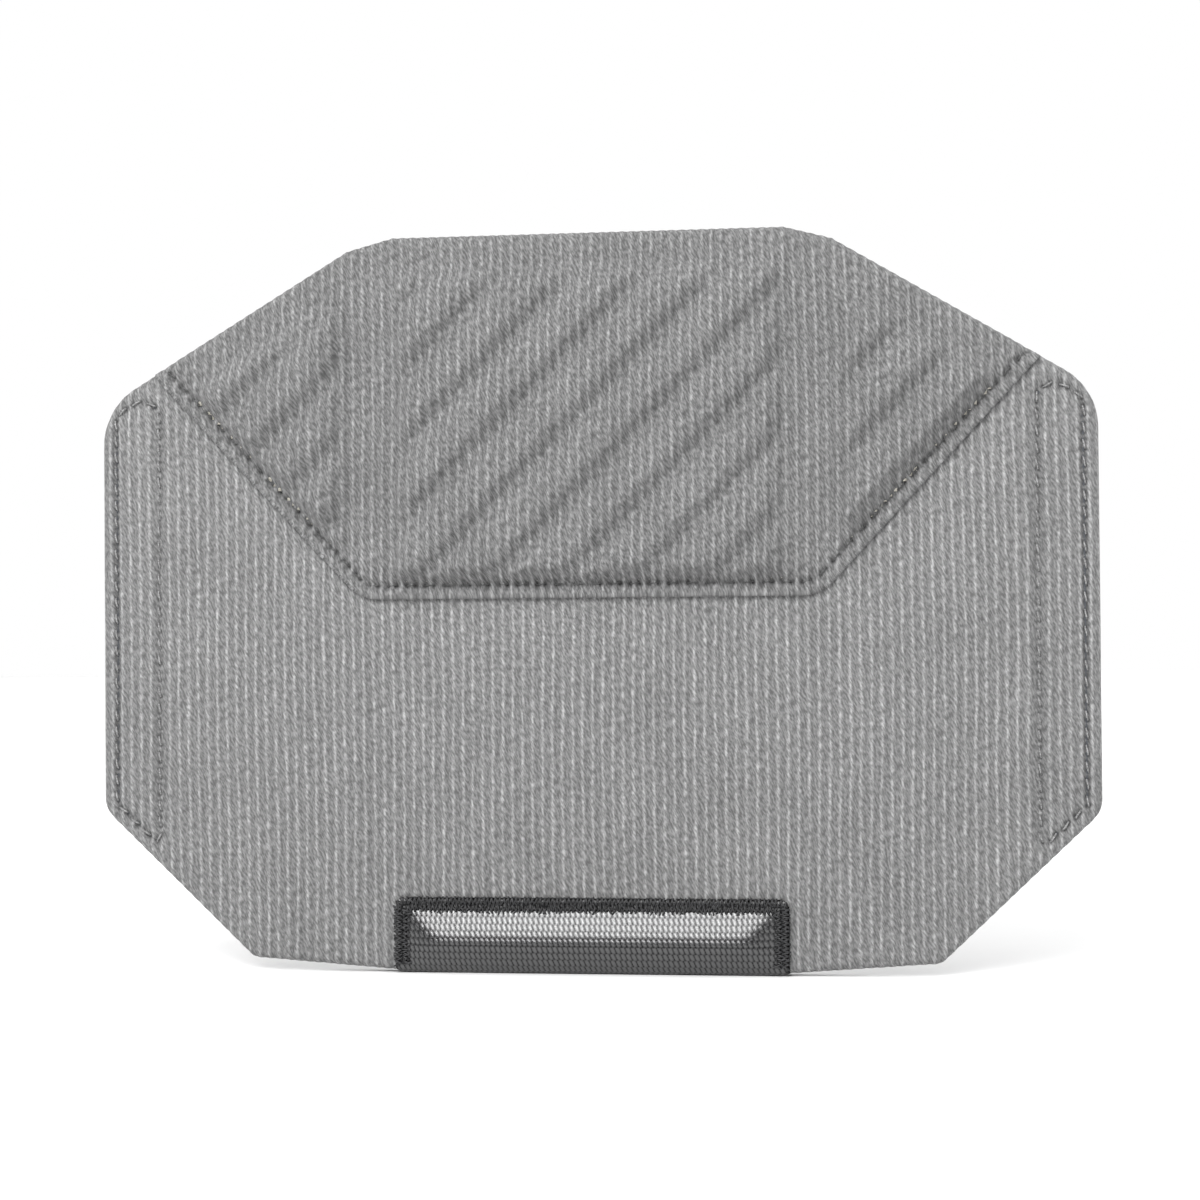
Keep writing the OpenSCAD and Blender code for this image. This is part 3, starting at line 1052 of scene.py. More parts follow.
@dataclass(frozen=True)
class Roll:
    """The way a cloth turns round the panel's edge on to its rear.

    Attributes:
        front: Depth of the cloth's outer face in front of the rear face.
        radius: Radius of the turn at the front.
        back: Radius of the turn at the rear.
        hem: Width of the hem on the rear.
    """

    front: float
    radius: float = 0.0026
    back: float = 0.0014
    hem: float = 0.0034

    @property
    def length(self) -> float:
        """Length of cloth outside the line where the turn begins."""
        return self.front - self.radius - self.back + math.pi / 2 * (self.radius + self.back) + self.hem

    def wrap(self, along: Array) -> tuple[Array, Array, Array, Array]:
        """Follows the cloth round the edge.

        Args:
            along: Length of cloth from the line where the turn begins, outwards.

        Returns:
            How far out and how deep each point lies, and the outward and forward parts of the cloth's normal.
        """
        quarter, drop = math.pi / 2 * self.radius, self.front - self.radius - self.back
        rear = math.pi / 2 * self.back
        a = np.clip(along, 0, quarter) / self.radius
        straight = np.clip(along - quarter, 0, drop)
        b = np.clip(along - quarter - drop, 0, rear) / self.back
        under = np.clip(along - quarter - drop - rear, 0, None)
        out = self.radius * np.sin(a) - self.back * (1 - np.cos(b)) - under
        deep = self.front - self.radius * (1 - np.cos(a)) - straight - self.back * np.sin(b)
        return out, deep, np.sin(a) * np.cos(b), np.cos(a) - np.sin(b)


@dataclass(frozen=True)
class Rib:
    """Ribs of the knit.

    Attributes:
        pitch: Distance between two ribs.
        columns: Columns of the grid for each rib.
        row: Height of a row of the grid.
        height: Height of a rib above the valley.
    """

    pitch: float = 0.00305
    columns: int = 8
    row: float = 0.001
    height: float = 0.00046

    def profile(self, u: Array) -> Array:
        """Height of the ribs from 0 in a valley to 1 on a crest, with a valley at 0."""
        return (0.5 - 0.5 * np.cos(u / self.pitch * math.tau)) ** 0.8

    @staticmethod
    def sway(u: Array, v: Array) -> Array:
        """How far the ribs wander sideways, because a knit is never quite straight."""
        wide = 0.00030 * np.sin(v / 0.041 + u / 0.055) + 0.00022 * np.sin(v / 0.0173 - u / 0.021 + 1.3)
        return wide + 0.00016 * np.sin(v / 0.0066 + 9.1 * np.sin(u / 0.0094)) * np.cos(u / 0.0131)


@dataclass
class Holes:
    """Needle holes and the lines of stitches that draw the cloth in.

    Attributes:
        places: The holes as rows of (x, z).
        depth: Depth of a hole.
        width: Width of a hole.
        dimple: Width of the cloth that is drawn in round a hole.
        dimple_share: Depth of that dimple, as a share of the hole's.
        shadow: Width of the painted shadow in the middle of a hole.
        reach: Distance from a hole beyond which nothing moves.
    """

    places: Array
    depth: float = 0.00045
    width: float = 0.0009
    dimple: float = 0.0022
    dimple_share: float = 0.45
    shadow: float = 0.00075
    reach: float = 0.004

    def pull(self, x: Array, z: Array) -> tuple[Array, Array]:
        """Measures how the holes draw the cloth in.

        Args:
            x: Places across.
            z: Places up.

        Returns:
            How far each point is drawn in, and how much painted shadow it gets, from 0 to 1.
        """
        deep, dark = np.zeros(len(x)), np.zeros(len(x))
        for px, pz in self.places:
            near = (np.abs(x - px) < self.reach) & (np.abs(z - pz) < self.reach)
            gap = np.hypot(x[near] - px, z[near] - pz)
            drawn = bump_at(gap, self.width) + self.dimple_share * bump_at(gap, self.dimple)
            deep[near] = np.maximum(deep[near], drawn)
            # Painted shadow in the middle of the hole
            dark[near] = np.maximum(dark[near], bump_at(gap, self.shadow))
        return deep * self.depth, dark


@dataclass
class Cloth:
    """One half of a ribbed cloth, cut from a flat grid, given its relief and turned round the edge.

    Attributes:
        name: The piece's name.
        side: The half of the protector that it covers.
        layout: The sizes.
        rib: The knit's ribs.
        roll: How it turns round the edge.
        bottom: Height of the flat grid's lower end.
        top: Height of the flat grid's upper end.
        outside: Gives for flat places whether they are cut away, apart from the hem.
        relief: Gives for each place (x, z) the height above the cloth's face.
        holes: Needle holes in it.
        swell: Gives for each place (x, z) how much taller the ribs stand there.
        relief_fade: Length of the turn over which the relief fades out.
        rib_fade: Length of the turn over which the ribs get lower.
        hole_depth: Holes are made only where the cloth lies further forwards than this.
        hem_depth: Where the cloth lies further back than this, it is kept flat on the rear.
        hem_height: How far the flat hem stands up at most.
        ragged: Width of the hem's stepped edge, which is drawn on to the cut line.
    """

    name: str
    side: Side
    layout: Layout
    rib: Rib
    roll: Roll
    bottom: float
    top: float
    outside: Callable[[Array], Array]
    relief: Callable[[Array, Array], Array]
    holes: Holes
    swell: Callable[[Array, Array], Array]
    relief_fade: float = 0.003
    rib_fade: float = 0.0025
    hole_depth: float = 0.004
    hem_depth: float = 0.003
    hem_height: float = 0.0002
    ragged: float = 0.0016

    def build(self) -> bpy.types.Object:
        """Makes the piece.

        Returns:
            The half cloth with its UV map and its rib and hole values.
        """
        start = self.layout.panel(self.roll.radius)
        reach = self.roll.length
        cell = self.rib.pitch / self.rib.columns
        half = math.ceil((self.layout.width / 2 - self.roll.radius + reach) / cell)
        rows = math.ceil((self.top - self.bottom) / self.rib.row)
        low, high = (0.0, self.bottom), (half * cell, self.bottom + rows * self.rib.row)
        if self.side is Side.LEFT:
            low, high = (-high[0], low[1]), (0.0, high[1])
        bm = flat_grid(low, high, (half, rows))
        cut_out(bm, lambda p: (start.nearest(p)[0] > reach) | self.outside(p))
        self.trim(bm, start, reach)
        piece = piece_from(bm, self.name)
        flat = points_of(piece.data)[:, ::2]
        x, z = flat[:, 0] + self.rib.sway(flat[:, 0], flat[:, 1]), flat[:, 1]
        set_uv(piece.data, "cloth", flat)
        along, foot, away = start.nearest(np.stack([x, z], 1))
        out, deep, sideways, forwards = self.roll.wrap(along)
        rolled = along > 0
        x = np.where(rolled, foot[:, 0] + away[:, 0] * out, x)
        z = np.where(rolled, foot[:, 1] + away[:, 1] * out, z)
        crest = self.rib.profile(flat[:, 0])
        # The holes draw the cloth in, and dark is the painted shadow in them, kept to the front below
        pulled, dark = self.holes.pull(x, z)
        sewn = deep > self.hole_depth
        pulled, dark = np.where(sewn, pulled, 0), np.where(sewn, dark, 0)
        front = smooth(1 - along / self.relief_fade)
        tall = self.rib.height * (0.3 + 0.7 * smooth(1 - along / self.rib_fade)) * self.swell(x, z)
        height = (crest - 0.5) * tall + self.relief(x, z) * front - pulled
        height = np.where(deep < self.hem_depth, np.minimum(height, self.hem_height), height)
        across, up = away[:, 0] * sideways * height, away[:, 1] * sideways * height
        set_points(piece.data, np.stack([x + across, -deep - forwards * height, z + up], 1))
        # The rib height is also read by the knit's material as painted valley shade
        set_value(piece.data, "rib", crest)
        set_value(piece.data, "hole", dark)
        return piece

    def trim(self, bm: bmesh.types.BMesh, start: Outline, reach: float) -> None:
        """Draws the ragged hem of the grid on to its cut line.

        Args:
            bm: The grid.
            start: The line where the turn begins.
            reach: Length of cloth outside that line.
        """
        rim = [v for v in bm.verts if v.is_boundary]
        p = np.array([tuple(v.co)[::2] for v in rim])
        along, foot, away = start.nearest(p)
        for v, a, f, w in zip(rim, along, foot, away):
            if a > reach - self.ragged:
                v.co.x, v.co.z = f[0] + w[0] * reach, f[1] + w[1] * reach


@dataclass
class Sewing:
    """Rows of stitches that the cloths and the tapes share.

    Attributes:
        layout: The sizes.
        yoke_pitch: Distance between two stitches of the yoke.
        yoke_margin: Distance of the yoke's stitches from its free edge.
        tape_pitch: Distance between two stitches of a tape.
        tape_margin: Distance of a tape's stitches from its edge.
        yoke_end: How far the yoke's stitches end before the shoulder's slanted edge.
    """

    layout: Layout
    yoke_pitch: float = 0.0057
    yoke_margin: float = 0.0042
    tape_pitch: float = 0.005
    tape_margin: float = 0.0012
    yoke_end: float = 0.0035

    def yoke_row(self) -> tuple[Array, Array]:
        """The yoke's stitches from its left tip to its right tip, as places and directions."""
        line = self.layout.yoke(self.yoke_margin).points
        corners = line[line[:, 1] < self.layout.yoke_corner[1] + self.layout.yoke_round * 1.5]
        low = corners[np.argsort(corners[:, 0])]
        slant = self.layout.slant
        tip = line_meet(low[-1], slant, self.layout.shoulder, self.layout.chamfer) - slant * self.yoke_end
        line = np.vstack([[-tip[0], tip[1]], low, tip])
        return walk(line, self.yoke_pitch)

    def tape_loop(self, side: Side) -> tuple[Array, Array]:
        """A tape's closed loop of stitches, as places and directions."""
        return walk(self.layout.tape(side, self.tape_margin).points, self.tape_pitch, closed=True)

    @staticmethod
    def ends(row: tuple[Array, Array], length: float) -> Array:
        """The needle holes at both ends of each stitch of a row."""
        places, run = row
        return np.vstack([places - run * length / 2, places + run * length / 2])


# -------------------------------------------------------------------- the parts


@dataclass
class Yoke:
    """The padded yoke: three foam pads, pressed with diagonal channels, under one cloth.

    Attributes:
        layout: The sizes.
        rib: The knit's ribs.
        sewing: The rows of stitches.
        channel_gap: Distance between two channels, measured across.
        channel_start: Where a channel crosses the middle's height, from the middle.
        channel_depth: Depth of a channel.
        channel_width: Width of a channel.
        channel_rim: Distance from a channel of the soft rim beside it.
        wing_shift: How far the right wing's channels are shifted.
        crown: How far the middle of a pad stands above its rim.
        lip: Height of the free edge's soft lip.
        seam: How far the topstitch draws the cloth in.
        strip_sink: How far the cloth sinks at a fold.
        ragged: Width of the free edge's steps, which are drawn on to its line.
        front_depth: A slanted free edge is further forwards than this, and the hem beside it is not.
        low_edge: The lower free edge lies below this height.
        edge_rings: Turned-under free edge: how far out and how deep below the lip each ring lies.
        foam_cell: Size of the foam's grid.
        foam_gap: How much lower than the cloth the foam's top is.
        foam_lift: How far the foam's underside lies in front of the face cloth.
    """

    layout: Layout
    rib: Rib
    sewing: Sewing
    channel_gap: float = 0.0223
    channel_start: float = -0.0564
    channel_depth: float = 0.0029
    channel_width: float = 0.0029
    channel_rim: float = 0.0056
    wing_shift: float = 0.0039
    crown: float = 0.0005
    lip: float = 0.0009
    seam: float = 0.0008
    strip_sink: float = 0.0003
    ragged: float = 0.0015
    front_depth: float = 0.0055
    low_edge: float = 0.004
    edge_rings: tuple[tuple[float, float], ...] = (
        (0.0004, 0.00008),
        (0.0007, 0.00035),
        (0.0008, 0.0008),
        (0.0006, 0.0013),
        (-0.0012, 0.0014),
    )
    foam_cell: float = 0.0015
    foam_gap: float = 0.0012
    foam_lift: float = 0.0002

    def channel_distance(self, x: Array, z: Array) -> Array:
        """Distance from the nearest channel."""
        shift = np.where(x > self.layout.fold, self.wing_shift, 0)
        place = (x - z - self.channel_start - shift) / self.channel_gap
        return np.abs(place - np.round(place)) * self.channel_gap / math.sqrt(2)

    def pad_inside(self, x: Array, z: Array) -> Array:
        """Distance inside the foot of the pad that a point is on, or a negative number off the pads."""
        p = np.stack([x, z], 1)
        return np.max([-foot.nearest(p)[0] for foot in self.layout.feet().values()], axis=0)

    def pad_height(self, x: Array, z: Array, lower: float = 0.0) -> Array:
        """Height of the pads above the flat yoke.

        Args:
            x: Places across.
            z: Places up.
            lower: How much lower the whole pad is, for the foam under the cloth.

        Returns:
            The height at each place.
        """
        inside = self.pad_inside(x, z)
        rise = np.zeros(len(x))
        for key in (-1, 0, 1):
            share = np.ones(len(x))
            for (px, pz), (nx, nz), slope in self.layout.pad_sides(key):
                t = np.clip(((x - px) * nx + (z - pz) * nz) / slope, 0, 1)
                share = share * (0.65 * smooth(t) + 0.35 * np.sin(t * math.pi / 2))
            rise = np.maximum(rise, share)
        near = self.channel_distance(x, z)
        rim = bump_at(near - self.channel_rim, self.channel_rim / 2)
        groove = bump_at(near, self.channel_width) - 0.25 * rim
        fade = smooth((inside - 0.0005) / 0.004)
        crown = self.crown * smooth(inside / 0.02)
        sunk = self.channel_depth * groove * fade * rise**0.35
        return (self.layout.pad - lower) * rise + crown - sunk

    def relief(self, x: Array, z: Array) -> Array:
        """Height of the yoke's cloth above its flat face, with its lip, its pads and its fold strips."""
        height = self.pad_height(x, z)
        edge = -self.layout.yoke().nearest(np.stack([x, z], 1))[0]
        lip = self.lip * np.sin(np.clip(edge / self.sewing.yoke_margin, 0, 1) ** 0.8 * math.pi)
        seam = -self.seam * bump_at(edge - self.sewing.yoke_margin, 0.001)
        strip = -self.strip_sink * bump_at(np.abs(x) - self.layout.fold, 0.0025)
        return height + lip + seam + strip

    def rib_swell(self, x: Array, z: Array) -> Array:
        """How much taller the ribs stand: the stretched cloth opens them where a pad meets the lip."""
        low = self.layout.yoke_corner[1] + self.layout.pad_lip
        foot = np.where(np.abs(x) < self.layout.fold, z - low, 0.03)
        return 1.3 + 1.5 * bump_at(foot - 0.0018, 0.0032)

    def cloth(self, side: Side) -> bpy.types.Object:
        """Makes one half of the yoke's cloth, with its turned-in free edge.

        Args:
            side: The half.

        Returns:
            The piece.
        """
        edge = self.layout.yoke(0.0008)
        holes = Holes(self.sewing.ends(self.sewing.yoke_row(), 0.0026), depth=0.0005)
        roll = Roll(self.layout.cover)
        cloth = Cloth(
            name=f"yoke_cloth_{side.word}_half",
            side=side,
            layout=self.layout,
            rib=self.rib,
            roll=roll,
            bottom=0.0,
            top=self.layout.top - roll.radius + roll.length + 0.001,
            outside=lambda p: edge.nearest(p)[0] > 0,
            relief=self.relief,
            holes=holes,
            swell=self.rib_swell,
        )
        piece = cloth.build()
        self.turn_edge(piece, edge)
        return piece

    def turn_edge(self, piece: bpy.types.Object, edge: Outline) -> None:
        """Draws the free edge on to its line and turns it down and under.

        Args:
            piece: A half of the yoke's cloth.
            edge: The line that the flat part of the yoke ends at.
        """
        bm = bmesh.new()
        bm.from_mesh(piece.data)
        rim = [e for e in bm.edges if e.is_boundary]
        verts = list({v for e in rim for v in e.verts})
        gap, foot, away = edge.nearest(np.array([tuple(v.co)[::2] for v in verts]))
        free = {}
        for v, g, f, w in zip(verts, gap, foot, away):
            off_middle = abs(v.co.x) > ON_MIDDLE
            on_slant = off_middle and v.co.y < -self.front_depth
            if abs(g) < self.ragged and (on_slant or v.co.z < self.low_edge):
                v.co.z = f[1]
                if off_middle:
                    v.co.x = f[0]
                free[v] = w
        ring = [e for e in rim if e.verts[0] in free and e.verts[1] in free]
        base = {v: v.co.copy() for v in free}
        for out, deep in self.edge_rings:
            grown = bmesh.ops.extrude_edge_only(bm, edges=ring)["geom"]
            new_edges = [g for g in grown if isinstance(g, bmesh.types.BMEdge) and g.is_boundary]
            new_verts = {g for g in grown if isinstance(g, bmesh.types.BMVert)}
            partner = {}
            for v in new_verts:
                for e in v.link_edges:
                    other = e.other_vert(v)
                    if other in free and other not in new_verts:
                        partner[v] = other
            for v, old in partner.items():
                b, w = base[old], free[old]
                v.co = Vector((b.x + w[0] * out, b.y + deep, b.z + w[1] * out))
            ring = [e for e in new_edges if e.verts[0] in partner and e.verts[1] in partner]
            free = {v: free[old] for v, old in partner.items()}
            base = {v: base[old] for v, old in partner.items()}
        bm.to_mesh(piece.data)
        bm.free()
        piece.data.polygons.foreach_set("use_smooth", np.full(len(piece.data.polygons), True))

    def foam(self, key: int) -> bpy.types.Object:
        """Makes one foam pad, a closed piece that fills the yoke's cloth from below.

        Args:
            key: -1 for the left wing, 0 for the centre and 1 for the right wing.

        Returns:
            The piece.
        """
        foot = self.layout.feet()[key]
        low, high = foot.points.min(0) - 0.001, foot.points.max(0) + 0.001
        across, up = (int(n) for n in np.ceil((high - low) / self.foam_cell))
        bm = flat_grid(tuple(low), tuple(high), (across, up))
        cut_out(bm, lambda p: foot.nearest(p)[0] > 0)
        for v in bm.verts:
            v.co.y = -self.layout.face - self.foam_lift
        under = bmesh.ops.duplicate(bm, geom=list(bm.verts) + list(bm.edges) + list(bm.faces))["geom"]
        lower = {g for g in under if isinstance(g, bmesh.types.BMVert)}
        bmesh.ops.reverse_faces(bm, faces=[g for g in under if isinstance(g, bmesh.types.BMFace)])
        upper = [v for v in bm.verts if v not in lower]
        at = np.array([tuple(v.co)[::2] for v in upper])
        height = self.pad_height(at[:, 0], at[:, 1], lower=self.foam_gap)
        for v, h in zip(upper, height):
            v.co.y -= max(float(h), 0.0)
        bmesh.ops.bridge_loops(bm, edges=[e for e in bm.edges if e.is_boundary])
        bmesh.ops.recalc_face_normals(bm, faces=bm.faces)
        return piece_from(bm, f"yoke_foam_{('centre', 'right', 'left')[key]}")

    def threads(self, side: Side) -> bpy.types.Object:
        """Sews one half of the yoke's topstitch."""
        places, run = self.sewing.yoke_row()
        mine = (places[:, 0] < 0) if side is Side.LEFT else (places[:, 0] >= 0)
        places, run = places[mine], run[mine]
        height = self.relief(places[:, 0], places[:, 1])
        stitch = Stitch(length=0.0026, radius=0.00021, rise=0.0004)
        return stitch.sewn(
            f"yoke_thread_{side.word}_half",
            stitch_places(places, run, -self.layout.cover - height + 0.00012, FORWARDS),
        )


@dataclass
class Panel:
    """The main panel: the face cloth, the lining with its seam, and the hook tapes with their stitches.

    Attributes:
        layout: The sizes.
        rib: The knit's ribs.
        sewing: The rows of stitches.
        fold_sink: How far the face cloth sinks at a fold.
        row_sink: How far it is drawn in along a row of stitches.
        yoke_sink: How far it is pressed in under the yoke.
        lining_depth: How far the lining lies in front of the rear face.
        lining_margin: Distance of the lining's rim from the panel's edge, which is under the hem.
        lining_cells: Cells of a half lining's grid across and up.
        hem_margin: Distance of the hem's stitches from the panel's edge.
        hem_pitch: Distance between two of them.
        tape_base: Thickness of the hook tape's woven base.
        hook_gap: Distance between two hooks across and up.
        hook_margin: Width of the tape's border without hooks.
    """

    layout: Layout
    rib: Rib
    sewing: Sewing
    fold_sink: float = 0.00035
    row_sink: float = 0.00045
    yoke_sink: float = 0.0012
    lining_depth: float = 0.00035
    lining_margin: float = 0.0024
    lining_cells: tuple[int, int] = (126, 186)
    hem_margin: float = 0.0032
    hem_pitch: float = 0.0042
    tape_base: float = 0.0006
    hook_gap: tuple[float, float] = (0.0014, 0.0016)
    hook_margin: float = 0.0018

    def relief(self, x: Array, z: Array) -> Array:
        """Height of the face cloth above its flat face: it sinks at folds, sewn rows and under the yoke."""
        fold = -self.fold_sink * bump_at(np.abs(x) - self.layout.fold, 0.0016)
        wave = 0.00012 * np.sin(x / 0.013 + 2 * np.sin(z / 0.031)) * np.sin(z / 0.019 + 0.7)
        p = np.stack([x, z], 1)
        rows = np.zeros(len(x))
        for side in Side:
            loop = self.layout.tape(side, self.sewing.tape_margin)
            rows = np.minimum(rows, -self.row_sink * bump_at(loop.nearest(p)[0], 0.0011))
        under = -self.yoke_sink * smooth((-self.layout.yoke().nearest(p)[0] - 0.001) / 0.003)
        return fold + wave + rows + under

    def cloth(self, side: Side) -> bpy.types.Object:
        """Makes one half of the face cloth, which ends just under the yoke.

        Args:
            side: The half.

        Returns:
            The piece.
        """
        hidden = self.layout.yoke(0.007)
        roll = Roll(self.layout.face)
        cloth = Cloth(
            name=f"face_cloth_{side.word}_half",
            side=side,
            layout=self.layout,
            rib=self.rib,
            roll=roll,
            bottom=self.layout.bottom + roll.radius - roll.length - 0.001,
            top=self.layout.top - 0.002,
            outside=lambda p: hidden.nearest(p)[0] < 0,
            relief=self.relief,
            holes=Holes(self.sewing.ends(self.sewing.tape_loop(side), 0.0027), depth=0.0006, width=0.001),
            swell=lambda x, z: np.ones(len(x)),
        )
        return cloth.build()

    def lining(self, side: Side) -> bpy.types.Object:
        """Makes one half of the lining, which lies under the hem of the cloths.

        Args:
            side: The half.

        Returns:
            The piece.
        """
        edge = self.layout.panel(self.lining_margin)
        low, high = self.layout.bottom, self.layout.top
        half = self.layout.width / 2
        left, right = (-half, 0) if side is Side.LEFT else (0, half)
        bm = flat_grid((left, low), (right, high), self.lining_cells)
        cut_out(bm, lambda p: edge.nearest(p)[0] > 0)
        rim = [v for v in bm.verts if v.is_boundary and abs(v.co.x) > ON_MIDDLE]
        for v, f in zip(rim, edge.nearest(np.array([tuple(v.co)[::2] for v in rim]))[1]):
            v.co.x, v.co.z = f
        for v in bm.verts:
            wave = math.sin(v.co.x / 0.017 + 1.7 * math.sin(v.co.z / 0.023))
            v.co.y = -self.lining_depth + 0.00018 * wave * math.cos(v.co.z / 0.014)
        bmesh.ops.reverse_faces(bm, faces=bm.faces)
        return piece_from(bm, f"lining_{side.word}_half")

    def hem_threads(self, side: Side) -> bpy.types.Object:
        """Sews one half of the seam that holds the hem on the lining."""
        places, run = walk(self.layout.panel(self.hem_margin).points, self.hem_pitch, closed=True)
        mine = (places[:, 0] < -0.001) if side is Side.LEFT else (places[:, 0] >= -0.001)
        keep = mine & ~((np.abs(places[:, 0]) < self.layout.grip_half) & (places[:, 1] < 0))
        stitch = Stitch(length=0.0028, radius=0.00022, rise=0.00045, lean=0.05)
        row = stitch_places(places[keep], run[keep], 0.00012, BACKWARDS)
        return stitch.sewn(f"hem_thread_{side.word}_half", row)

    def tape(self, side: Side) -> bpy.types.Object:
        """Makes a hook tape: a woven base with rows of moulded hooks.

        Args:
            side: The wing that it is on.

        Returns:
            The piece.
        """
        outline = self.layout.tape(side)
        bm = bmesh.new()
        corners = [bm.verts.new((x, 0.0, z)) for x, z in outline.points]
        face = bm.faces.new(corners)
        body = bmesh.ops.extrude_face_region(bm, geom=[face])["geom"]
        raised = [g for g in body if isinstance(g, bmesh.types.BMVert)]
        bmesh.ops.translate(bm, vec=(0, self.tape_base, 0), verts=raised)
        bmesh.ops.recalc_face_normals(bm, faces=bm.faces)
        top = [g for g in body if isinstance(g, bmesh.types.BMFace)]
        bmesh.ops.inset_region(bm, faces=top, thickness=0.00025, depth=0.0002, use_even_offset=True)
        hook = self.hook()
        start = len(bm.verts)
        low, high = outline.points.min(0), outline.points.max(0)
        steps = [np.arange(low[k], high[k], self.hook_gap[k]) for k in range(2)]
        across, up = np.meshgrid(*steps)
        across[::2] += self.hook_gap[0] / 2
        places = np.stack([across.ravel(), up.ravel()], 1)
        for x, z in places[outline.nearest(places)[0] < -self.hook_margin]:
            bm.from_mesh(hook)
            bm.verts.ensure_lookup_table()
            bmesh.ops.translate(bm, vec=(x, self.tape_base + 0.0001, z), verts=bm.verts[start:])
            start = len(bm.verts)
        bpy.data.meshes.remove(hook)
        return piece_from(bm, f"hook_tape_pile_{side.word}")

    def hook(self) -> bpy.types.Mesh:
        """One hook of the tape, bent over towards +Z and standing along +Y.

        Returns:
            A mesh that is used for every hook.
        """
        bm = bmesh.new()
        stand = Matrix.Rotation(math.pi / 2, 4, "X")
        ring = bmesh.ops.create_circle(bm, segments=4, radius=0.00016, matrix=stand)
        edges = list({e for v in ring["verts"] for e in v.link_edges})
        grown = bmesh.ops.extrude_edge_only(bm, edges=edges)["geom"]
        verts = [g for g in grown if isinstance(g, bmesh.types.BMVert)]
        bmesh.ops.translate(bm, vec=(0, 0.0004, 0), verts=verts)
        tip = [g for g in grown if isinstance(g, bmesh.types.BMEdge) and g.is_boundary]
        bend = math.radians(-200)
        bmesh.ops.spin(bm, geom=verts + tip, cent=(0, 0.0004, 0.0003), axis=(1, 0, 0), angle=bend, steps=4)
        bmesh.ops.holes_fill(bm, edges=[e for e in bm.edges if e.is_boundary], sides=4)
        bmesh.ops.recalc_face_normals(bm, faces=bm.faces)
        mesh = bpy.data.meshes.new("hook_pattern")
        bm.to_mesh(mesh)
        bm.free()
        return mesh

    def tape_threads(self, side: Side) -> bpy.types.Object:
        """Sews a tape's loop of stitches, as it shows on the outer face and on the tape."""
        places, run = self.sewing.tape_loop(side)
        height = self.relief(places[:, 0], places[:, 1])
        shift = run * self.sewing.tape_pitch / 2
        front = stitch_places(places, run, -self.layout.face - height + 0.00005, FORWARDS)
        rear = stitch_places(places + shift, run, 0.0009, BACKWARDS)
        stitch = Stitch(length=0.0029, radius=0.00027, rise=0.0006, lean=math.radians(12))
        return stitch.sewn(f"tape_thread_{side.word}", front + rear)


